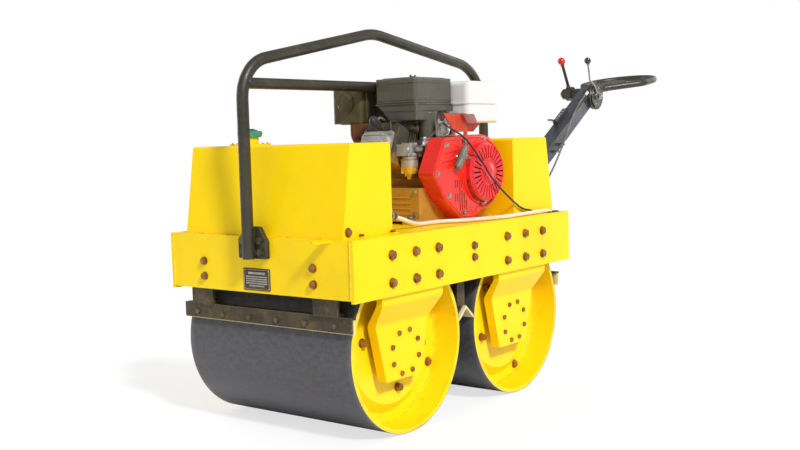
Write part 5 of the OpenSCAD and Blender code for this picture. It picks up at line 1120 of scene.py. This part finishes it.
@dataclass
class Engine:
    """Small parts of the engine: screws, pressed ribs, springs, rods, caps and flanges."""

    crank: tuple[float, float] = (-158.0, 688.0)
    face: float = 258.0
    outline: tuple[tuple[float, float], ...] = (
        (50, -127), (108, -124), (184, -70), (238, 2), (211, 50), (182, 97), (60, 104))
    fan_radius: float = 105.0
    cover_radius: float = 87.05
    ear_radius: float = 91.0
    cover_ribs: int = 28
    grip_place: tuple[float, float] = (122.0, 47.0)
    grip_lean: float = 37.0
    head_lean: float = 21.0
    case_side: float = -8.2
    case_end: float = 85.0
    fuel_cap: Point = (-215.0, 62.0, 417.5)
    lid_top: float = 425.2
    carburettor_face: float = 165.0
    port: tuple[float, float] = (40.0, 240.0)

    def over(self, x: float, y: float, z: float) -> Point:
        """Point measured from the crankshaft in X and Z, in millimetres."""
        return at(self.crank[0] + x, y, self.crank[1] + z)

    def shroud(self, shop: Workshop) -> None:
        """Makes the shroud's pressed edge and its screws, the starter cover's ears and rings, and dark rods on both
        that paint the shade inside their vent and slot openings.
        """
        arc = [(self.fan_radius * math.cos(t), self.fan_radius * math.sin(t))
               for t in np.radians(np.linspace(90, 282, 22))]
        edge = shop.piece("shroud_edge", "red_paint")
        edge.outline([self.over(x, self.face + 0.2, z) for x, z in (*self.outline, *arc)], 0.0045, 0.0028, 8, Axis.Y)
        for x0, z0, x1, z1 in ((120, 70, 180, 60), (124, 48, 196, 34), (60, -112, 100, -112)):
            edge.rod(self.over(x0, self.face, z0), self.over(x1, self.face, z1), 0.003)
        screws = shop.piece("shroud_screws", "bright_bolt")
        for x, z in ((-14, 98), (-92, 36), (-78, -62), (96, -116), (170, -62), (222, 2), (176, 84), (84, 94)):
            screws.bolt(self.over(x, self.face, z), Axis.Y, 0.0062, 0.005, x)
        cover = shop.piece("starter_cover_ribs", "recoil_paint")
        for k, x, z in around(self.ear_radius, 3, 30):
            screws.bolt(self.over(x, 265.5, z), Axis.Y, 0.0058, 0.005, k)
            cover.turned([(0.0105, 0.0), (0.0105, 0.0028), (0.0095, 0.0036), (0.004, 0.0036)],
                         self.over(x, 262, z), Axis.Y, 20)
        for radius, y, thick in ((0.0335, 286.1, 0.0012), (0.0378, 286.0, 0.0014), (0.0808, 285.3, 0.0013)):
            cover.ring(self.over(0, y, 0), Axis.Y, radius, thick, 6, 64)
        for t in (2 * math.pi * (k + 0.5) / self.cover_ribs for k in range(self.cover_ribs)):
            ends = (self.over(q * math.cos(t), 286.1, q * math.sin(t)) for q in (43, 77))
            cover.rod(*ends, 0.0011, 6, 3, Axis.Y)
        shop.piece("starter_cover_disc", "recoil_paint").turned(
            [(0.026, 0.0), (0.026, 0.0006), (0.0254, 0.001), (0.01, 0.001)], self.over(0, 288, 0), Axis.Y, 40)
        # Dark rods along the starter cover's side paint the shade inside its slot openings
        slot_shade = shop.piece("starter_cover_slot_shade", "cap_plastic")
        r = self.cover_radius
        for first, last in ((-34, -12), (-60, -39), (-84, -65), (12, 30)):
            turns = np.radians(np.linspace(first, last, 9))
            for y in (264.8, 269.2, 273.6):
                line = np.stack([self.over(r * math.cos(t), y, r * math.sin(t)) for t in turns])
                slot_shade.tube(line, 0.0009, 6, up=Axis.Y)
        # Dark rods on the shroud's face paint the shade inside its vent openings
        vent_shade, depth = shop.piece("shroud_vent_shade", "cap_plastic"), self.face - 2.0
        for first, last, low, high, count in ((102.5, 135.5, -42, -18, 4), (91.5, 135.5, -82, -58, 5)):
            for x in np.linspace(first, last, count):
                vent_shade.rod(self.over(x, depth, low), self.over(x, depth, high), 0.003, 8, 3, Axis.Y)
        for x, z in ((92, 90), (79, 88), (66, 86)):
            vent_shade.rod(self.over(x + 5, depth, z - 6), self.over(x - 5, depth, z + 6), 0.003, 8, 3, Axis.Y)

    def grip(self, shop: Workshop) -> None:
        """Makes the starter grip's grooved sleeve and the rope's eyelet."""
        (x, z), lean = self.grip_place, math.radians(self.grip_lean)
        axis = np.array([-math.sin(lean), 0.0, math.cos(lean)])
        rings = shop.piece("starter_grip_rings", "grip_plastic", "starter_grip")
        for k in range(-4, 5):
            rings.ring(self.over(x, 274, z) + axis * k * 0.0068, axis, 0.0109, 0.0013, 6, 24)
        shop.piece("rope_eyelet", "bright_bolt").collar(self.over(x, self.face, z), Axis.Y, 0.0036, 0.0085, 0.004, 24)

    def fuel(self, shop: Workshop) -> None:
        """Makes the fuel cap's ribs, the tap, the fuel line and the air box's lip."""
        ribs, seat = shop.piece("fuel_cap_ribs", "cap_plastic", "fuel_cap"), deck(*self.fuel_cap)
        ribs.turned([(0.0255, 0.002), (0.0272, 0.003), (0.0272, 0.0125), (0.0255, 0.0135)], seat, Axis.Z, 96,
                    ribs=0.03)
        ribs.turned([(0.017, 0.0158), (0.017, 0.0168), (0.0155, 0.0174), (0.003, 0.0174)], seat, Axis.Z, 36)
        shop.piece("fuel_tap", "brass").turned(
            [(0.009, 0.0), (0.009, 0.006), (0.007, 0.007), (0.007, 0.014), (0.0045, 0.016), (0.0045, 0.022),
             (0.002, 0.022)], deck(-162, 150, 317), Axis.DOWN, 18, corners=6)
        shop.make_all()
        FUEL_LINE.tell(FUEL_LINE.curve(shop, "fuel_line"))
        seam = shop.piece("air_box_lip", "black_plastic")
        seam.outline(level(-142, 17, 43, 173, 348.5), 0.012, 0.0022)
        low = [deck(x, y, 329) for x, y in ((-142, 25), (43, 47), (43, 173), (-142, 173))]
        seam.outline(low, 0.01, 0.0014, 6)

    def lid(self, shop: Workshop) -> None:
        """Makes the air cleaner lid's raised panels, its top ridges and its side ridges."""
        ridges, top = shop.piece("air_lid_ridges", "black_plastic", "air_lid"), self.lid_top
        ridges.outline(level(-126, 34, 28, 156, top), 0.014, 0.0022)
        ridges.outline(level(-74, 70, 16, 148, top), 0.012, 0.0016)
        for x in (-104, -90):
            ridges.rod(deck(x, 52, top), deck(x, 140, top), 0.002)
        for z in (360, 410):
            ridges.outline(level(-141, 18, 42, 172, z), 0.012, 0.0011, 6)

    def linkage(self, shop: Workshop) -> None:
        """Makes the governor's spring and rods, the choke lever, and the carburettor's screws, spring and nipple."""
        wire = shop.piece("governor_wires", "bright_bolt")
        wire.tube(spiral(deck(-30, 214, 286), deck(22, 176, 232), 0.0034, 17), 0.0008, 6, up=(0.0, 1.0, 0.3))
        wire.rod(deck(-54, 212, 258), deck(36, 172, 226), 0.0013, 8, 6)
        link_rod = [deck(*q) for q in ((-52, 206, 262), (-52, 199, 240), (-40, 190, 228), (-28, 188, 216))]
        wire.tube(smooth_route(link_rod, 6), 0.0012, 8)
        for x in (-28, 0):
            wire.tube(spiral(deck(x, 166, 215), deck(x, 184, 215), 0.0066, 6, 90), 0.0008, 6)
        cast = shop.piece("carburettor_fittings", "bright_casting")
        cast.slab(deck(18, 168, 226), (0.03, 0.024, 0.006), 0.002, Axis.Y)
        cast.turned([(0.008, 0.0), (0.008, 0.012), (0.0062, 0.014), (0.0062, 0.02), (0.003, 0.021)],
                    deck(40, self.carburettor_face, 216), Axis.Y, 20)
        cast.slab(deck(40, 184, 228), (0.034, 0.008, 0.0025), 0.0009, basis(Axis.Y, (0.5, 0.0, 1.0)))
        cast.turned([(0.013, 0.0), (0.013, 0.004), (0.011, 0.006), (0.011, 0.011), (0.004, 0.012)],
                    deck(64, 147, 215), Axis.X, 24)
        for x, z, radius, height, turn in ((48, 200, 0.0055, 0.005, 48), (72, 200, 0.0055, 0.005, 72),
                                           (-50, 204, 0.005, 0.0045, 204), (-50, 228, 0.005, 0.0045, 228)):
            cast.bolt(deck(x, self.carburettor_face, z), Axis.Y, radius, height, turn)
        for x in (-22, 8, 34):
            cast.turned([(0.004, -0.001), (0.004, 0.0245)], deck(x, 164, 230), Axis.Y, 14)
        levers = shop.piece("choke_levers", "white_zinc")
        for x, y, z, length, tall in ((6, 188.6, 232, 0.066, 0.014), (27, 188.6, 241, 0.012, 0.022),
                                      (-14, 190.6, 243, 0.032, 0.008)):
            levers.slab(deck(x, y, z), (length, 0.0022, tall), 0.0008)
        for x, z, radius in ((-22, 230, 0.0056), (8, 232, 0.0044), (34, 231, 0.0052), (27, 248, 0.0042)):
            levers.screw(deck(x, 189.8, z), Axis.Y, radius)
        ring = shop.piece("bowl_ring", "brass")
        ring.collar(deck(60, 155.5, 186.5), Axis.Z, 0.0245, 0.0268, 0.0035, 36)
        ring.bolt(deck(60, 180.2, 156), Axis.Y, 0.005, 0.005, 8)
        shop.piece("choke_knob", "cap_plastic").turned(
            [(0.004, 0.0), (0.0075, 0.002), (0.008, 0.008), (0.006, 0.011), (0.002, 0.012)], deck(54, 184, 236),
            Axis.Y, 20)

    def head(self, shop: Workshop) -> None:
        """Makes the plug's boot and the head's ribs."""
        route = smooth_route([at(x, 64, z) for x, z in ((88, 834), (102, 840), (110, 847), (104, 853), (90, 849))], 5)
        radii = np.interp(np.linspace(0, 1, len(route)), [0, 0.3, 0.7, 1], [0.0135, 0.0135, 0.0095, 0.005])
        shop.piece("plug_boot", "grip_rubber").tube(route, radii, 14, up=Axis.Y)
        lean = math.radians(self.head_lean)
        d = np.array([math.cos(lean), 0.0, math.sin(lean)])
        n = np.array([math.sin(lean), 0.0, -math.cos(lean)])
        ribs = shop.piece("head_ribs", "bright_casting")
        for k in (-22, 0, 22, 40):
            middle = self.over(0, 64, 0) + d * 0.2925 + n * (0.006 + k / 1000)
            ribs.slab(middle, (0.074, 0.005, 0.004), 0.0015, np.stack([[0.0, 1.0, 0.0], n, d]))

    def exhaust(self, shop: Workshop) -> None:
        """Makes the exhaust flange with its nuts, the muffler's seams, ribs and pipe ring, and two shields."""
        nuts, (port_x, port_z) = shop.piece("exhaust_nuts", "bright_bolt"), self.port
        for dx in (-22, 22):
            nuts.bolt(deck(port_x + dx, -7.2, port_z), Axis.RIGHT, 0.0072, 0.007, 5)
        for x in (-42, 12):
            nuts.bolt(deck(x, -80, 403), Axis.Z, 0.0065, 0.005, x)
        for z in (380, 367, 354):
            nuts.screw(deck(60, -96 + (z - 367) * 0.3, z), Axis.X, 0.0036)
        flange = shop.piece("muffler_seams", "muffler_steel")
        flange.slab(deck(port_x, -4.2, port_z), (0.034, 0.06, 0.006), 0.002, basis(Axis.RIGHT, Axis.X), 0.012)
        for x in (-62, 32):
            seam = [deck(x, y, z) for y, z in corners(-138, 297, -22, 403)]
            flange.outline(seam, 0.02, 0.0026, 8, Axis.X)
        shield = shop.piece("air_guide", "black_plastic")
        shield.slab(deck(2, 100, 275), (0.146, 0.0022, 0.052), 0.0009)
        shield.slab(deck(2, 107, 300), (0.146, 0.015, 0.0022), 0.0009)
        for x in (-46, 2, 50):
            shield.screw(deck(x, 101, 288), Axis.Y, 0.0042)
        heat = shop.piece("heat_shield", "hot_pipe")
        heat.slab(deck(69, -13, 276), (0.078, 0.0022, 0.041), 0.0009)
        heat.slab(deck(45, -19, 295.8), (0.03, 0.014, 0.0022), 0.0009)
        guard = shop.piece("muffler_ribs", "muffler_steel")
        for k in range(7):
            y = -126 + k * 15.6
            guard.rod(deck(61.2, y, 318), deck(61.2, y, 324 if 1 < k < 6 else 388), 0.0021, 6)
        guard.ring(deck(64, -85, 360), Axis.X, 0.026, 0.0016, 6, 48)

    def base(self, shop: Workshop) -> None:
        """Makes the feet's and the case's bolts, the case's flange rings, and the oil filler's cap."""
        bolts = shop.piece("engine_bolts", "bright_bolt")
        for x in (-258, 93):
            for y in (16, 180):
                bolts.bolt(deck(x, y, 16), Axis.Z, 0.0095, 0.008, x)
        for k, x, z in around(88, 7, 15):
            bolts.bolt(self.over(x, -12, z), Axis.RIGHT, 0.007, 0.006, k)
        bolts.bolt(deck(self.case_end, 60, 24), Axis.X, 0.009, 0.008, 20)
        for y, z in ((10, 92), (190, 92), (190, 30), (10, 30)):
            bolts.bolt(deck(self.case_end, y, z), Axis.X, 0.006, 0.005, y)
        cast, side = shop.piece("case_flanges", "engine_casting"), self.over(0, self.case_side, 0)
        cast.collar(side, Axis.RIGHT, 0.078, 0.098, 0.0045, 60)
        cast.collar(side, Axis.RIGHT, 0.0185, 0.034, 0.007, 40)
        for z in (30, 46, 62, 78):
            cast.rod(deck(86, 90, z), deck(86, 176, z), 0.0024, 8, 6)
        cast.collar(deck(84, 40, 76), Axis.X, 0.012, 0.02, 0.008, 32)
        caps = shop.piece("oil_filler_cap", "cap_plastic")
        caps.turned([(0.016, 0.0), (0.0178, 0.002), (0.0178, 0.012), (0.015, 0.015), (0.006, 0.0155)],
                    deck(91, 40, 76), Axis.X, 64, ribs=0.04)
        caps.slab(deck(109, 40, 76), (0.026, 0.006, 0.008), 0.002, Axis.X)

    def build(self, shop: Workshop) -> None:
        """Makes every small part of the engine."""
        for make in (self.shroud, self.grip, self.fuel, self.lid, self.linkage, self.head, self.exhaust, self.base):
            make(shop)


@dataclass
class PumpSet:
    """Foot, bolts and blanked ports of the hydraulic pump, and those of the drums' motors."""

    place: tuple[float, float] = (140.0, -170.0)
    axle: float = 276.0
    face: float = -226.0
    motor_face: float = -326.0
    motor_height: float = 221.0
    screw_ring: float = 29.0

    def build(self, shop: Workshop) -> None:
        """Makes the pump's foot, its bolts, port nuts and end screws, and each motor's."""
        x, y = self.place
        shop.piece("pump_foot", "motor_casting").slab(deck(x, y, 3.2), (0.11, 0.116, 0.006), 0.002, Axis.Z, 0.01)
        bolts = shop.piece("pump_bolts", "bright_bolt")
        for sx, sy in SIGNS:
            bolts.bolt(deck(x + sx * 48, y + sy * 44, 6), Axis.Z, 0.008, 0.007, sx * 9)
        for k, dx, dz in around(self.screw_ring, 4, 45):
            bolts.bolt(deck(x + dx, self.face, 75 + dz), Axis.RIGHT, 0.0062, 0.006, k * 7)
        ports = shop.piece("pump_ports", "bright_bolt")
        for port in (-198, -142):
            ports.turned([(0.0125, 0.0), (0.0125, 0.011), (0.0105, 0.012), (0.0105, 0.021), (0.0085, 0.023),
                          (0.003, 0.0235)], deck(x, port, 128), Axis.Z, 24, corners=6)
        for end, middle in (("rear", -self.axle), ("front", self.axle)):
            screws = shop.piece(end + "_motor_screws", "bright_bolt")
            for k, dx, dz in around(self.screw_ring, 4, 45):
                screws.bolt(at(middle + dx, self.motor_face, self.motor_height + dz), Axis.RIGHT, 0.0058, 0.005, k * 11)
            for dx in (-21, 21):
                screws.turned([(0.0105, 0.0), (0.0105, 0.009), (0.008, 0.011), (0.003, 0.0112)],
                              at(middle + dx, -308, 268), Axis.Z, 24, corners=6)


@dataclass
class Tiller:
    """Welds, clips, ferrules, rivets and nuts of the folding handle and its controls."""

    pivot: Point = (-600.0, 0.0, 487.0)
    angle: float = 32.5
    rise: float = 8.6
    length: float = 884.0
    cross: float = 868.0
    disc: float = 841.0
    throttle_y: float = 52.5
    cheek: float = 40.5
    pin_y: float = -45.0
    travel_way: Point = (68.0, 0.0, 128.0)
    throttle_way: Point = (15.0, 0.0, 73.0)

    def along(self, t: float, y: float, h: float) -> Point:
        """Point at distance t along the handle from its pivot, y across, and h square off its upper face."""
        a = math.radians(self.angle)
        return at(self.pivot[0] - t * math.cos(a) + h * math.sin(a), y,
                  self.pivot[2] + t * math.sin(a) + h * math.cos(a))

    def by(self, t: float, x: float, y: float, z: float) -> Point:
        """Point offset level from the place at distance t along the handle."""
        base = self.along(t, 0.0, 0.0)
        return (base[0] + x / 1000, y / 1000, base[2] + z / 1000)

    def on_ring(self, t: float, y: float, h: float) -> Point:
        """Point of the ring's plane: t back from the handle's end, y across, h above the plane."""
        a = math.radians(self.rise)
        return self.by(self.length, -t * math.cos(a) + h * math.sin(a), y, t * math.sin(a) + h * math.cos(a))

    def bracket(self, shop: Workshop) -> None:
        """Makes the beads between the cheeks and their plate, and the pin's split ring."""
        beads = shop.piece("bracket_welds", "dark_weld")
        for sy in (-1, 1):
            for y in (self.cheek - 11, self.cheek):
                beads.weld(straight(at(-549, sy * y, 434), at(-549, sy * y, 534)), 0.0026, 70 + sy * int(y), Axis.Y)
            beads.weld(straight(*(at(x, sy * self.cheek, 536) for x in (-560, -640))), 0.0024, 75 + sy)
        ring, (x, _, z) = shop.piece("pin_ring", "bright_bolt"), self.pivot
        ring.tube(circle(at(x, self.pin_y, z), (0.3, 0.0, 1.0), 0.0105, 40), 0.0012, 8, True)
        ring.rod(at(x, self.pin_y, z - 12), at(x, self.pin_y, z + 12), 0.0016, up=Axis.Y)

    def arm(self, shop: Workshop) -> None:
        """Makes the arm's cable clips, the strip's buttons, and the beads at the arm's end and on the ring."""
        metal = shop.piece("strip_buttons", "bright_bolt", "handle")
        for x, _, z in (self.along(t, 0.0, 0.0) for t in (500, 452)):
            metal.slab((x, 0.0455, z), (0.012, 0.03, 0.002), 0.0007, basis((0.84, 0.0, -0.54), Axis.Y))
        a = math.radians(self.angle)
        for t in range(612, 693, 16):
            metal.screw(self.along(t, -20, 35.5), (math.sin(a), 0.0, math.cos(a)), 0.0042)
        beads = shop.piece("tiller_welds", "dark_weld", "handle")
        rim = [self.along(self.length - 0.5, y, h) for y, h in corners(-29, -22.5, 29, 22.5)]
        beads.weld(frame_loop(rim, 0.004), 0.0022, 80, (-0.84, 0.0, 0.54), True)
        for sy in (-1, 1):
            for h, seed in ((11.5, 83), (-11.5, 87)):
                beads.weld(straight(self.on_ring(66, sy * 30, h), self.on_ring(116, sy * 35.5, h)), 0.0022, seed + sy)

    def controls(self, shop: Workshop) -> None:
        """Makes the disc's rivets and rim, the rod's end, the levers' collars and nuts, and the cable's ferrule."""
        nuts = shop.piece("control_nuts", "bright_bolt", "handle")
        for _, dx, dz in around(33, 4, 20):
            nuts.screw(self.by(self.disc, dx, 48, dz), Axis.Y, 0.0045)
        nuts.bolt(self.by(self.disc, 0, 60, 0), Axis.Y, 0.0085, 0.006, 15)
        nuts.bolt(self.by(self.cross, 0, -115, 0), Axis.RIGHT, 0.012, 0.009, 10)
        nuts.bolt(self.by(self.disc, 80, 60, 10), Axis.X, 0.006, 0.005, 10)
        rim = shop.piece("disc_rim", "head_paint", "handle")
        for t, y, radius, thick, count in ((self.disc, 42.4, 0.0515, 0.0018, 72), (self.disc, 48.2, 0.044, 0.0012, 72),
                                           (self.cross, -112, 0.0198, 0.0016, 40),
                                           (self.cross, -104, 0.0198, 0.0016, 40)):
            rim.ring(self.by(t, 0, y, 0), Axis.Y, radius, thick, 6, count)
        hub = shop.piece("travel_lever_collar", "hub_red_brown", "travel_lever")
        hub.collar(self.by(self.cross, 0, -99, 0), Axis.Y, 0.0205, 0.0255, 0.0022, 32)
        base, slope = self.by(self.cross, 0, -85, 0), np.array(self.travel_way) / math.hypot(*self.travel_way)
        for profile in ([(0.0095, 0.026), (0.0095, 0.034), (0.0075, 0.036), (0.0062, 0.037)],
                        [(0.0062, 0.124), (0.0085, 0.1255), (0.0085, 0.131), (0.007, 0.132)]):
            hub.turned(profile, base, slope, 24, corners=6)
        top = shop.piece("throttle_lever_collar", "bright_bolt", "throttle_lever")
        step = np.array(self.throttle_way) / math.hypot(*self.throttle_way)
        top.turned([(0.0036, -0.018), (0.0068, -0.0165), (0.0068, -0.0115), (0.005, -0.0105)],
                   self.by(self.disc, 85, self.throttle_y, 134), step, 24, corners=6)
        top.collar(self.by(self.disc, 0, self.throttle_y - 4.2, 0), Axis.Y, 0.0095, 0.0146, 0.002)
        route = smooth_route(THROTTLE.points[:3], 8)[:4]
        ferrule = shop.piece("throttle_ferrule", "hose_white", "handle")
        ferrule.tube(route, np.linspace(0.0062, 0.0048, len(route)), 14, up=Axis.Y)

    def build(self, shop: Workshop) -> None:
        """Makes every detail of the handle."""
        for make in (self.bracket, self.arm, self.controls):
            make(shop)


def main() -> None:
    """Builds the scene and reports each piece."""
    logging.basicConfig(level=logging.INFO, format="%(name)s %(message)s")
    Camera().build()
    Studio().build()
    shop = Workshop()
    replace_cords(shop)
    shop.dress_nodes()
    for name in ("front_drum", "rear_drum"):
        low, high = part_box(name)
        centre = ((low[0] + high[0]) / 2, (low[2] + high[2]) / 2)
        shop.dress(name, DrumFinish(name + "_steel", (66, 66, 70), (86, 86, 90), (0.36, 0.55), centre=centre).build())
    for assembly in (Chassis(), LiftBar(), Drums(), Engine(), PumpSet(), Tiller()):
        assembly.build(shop)
    shop.make_all()


if __name__ == "__main__":
    main()
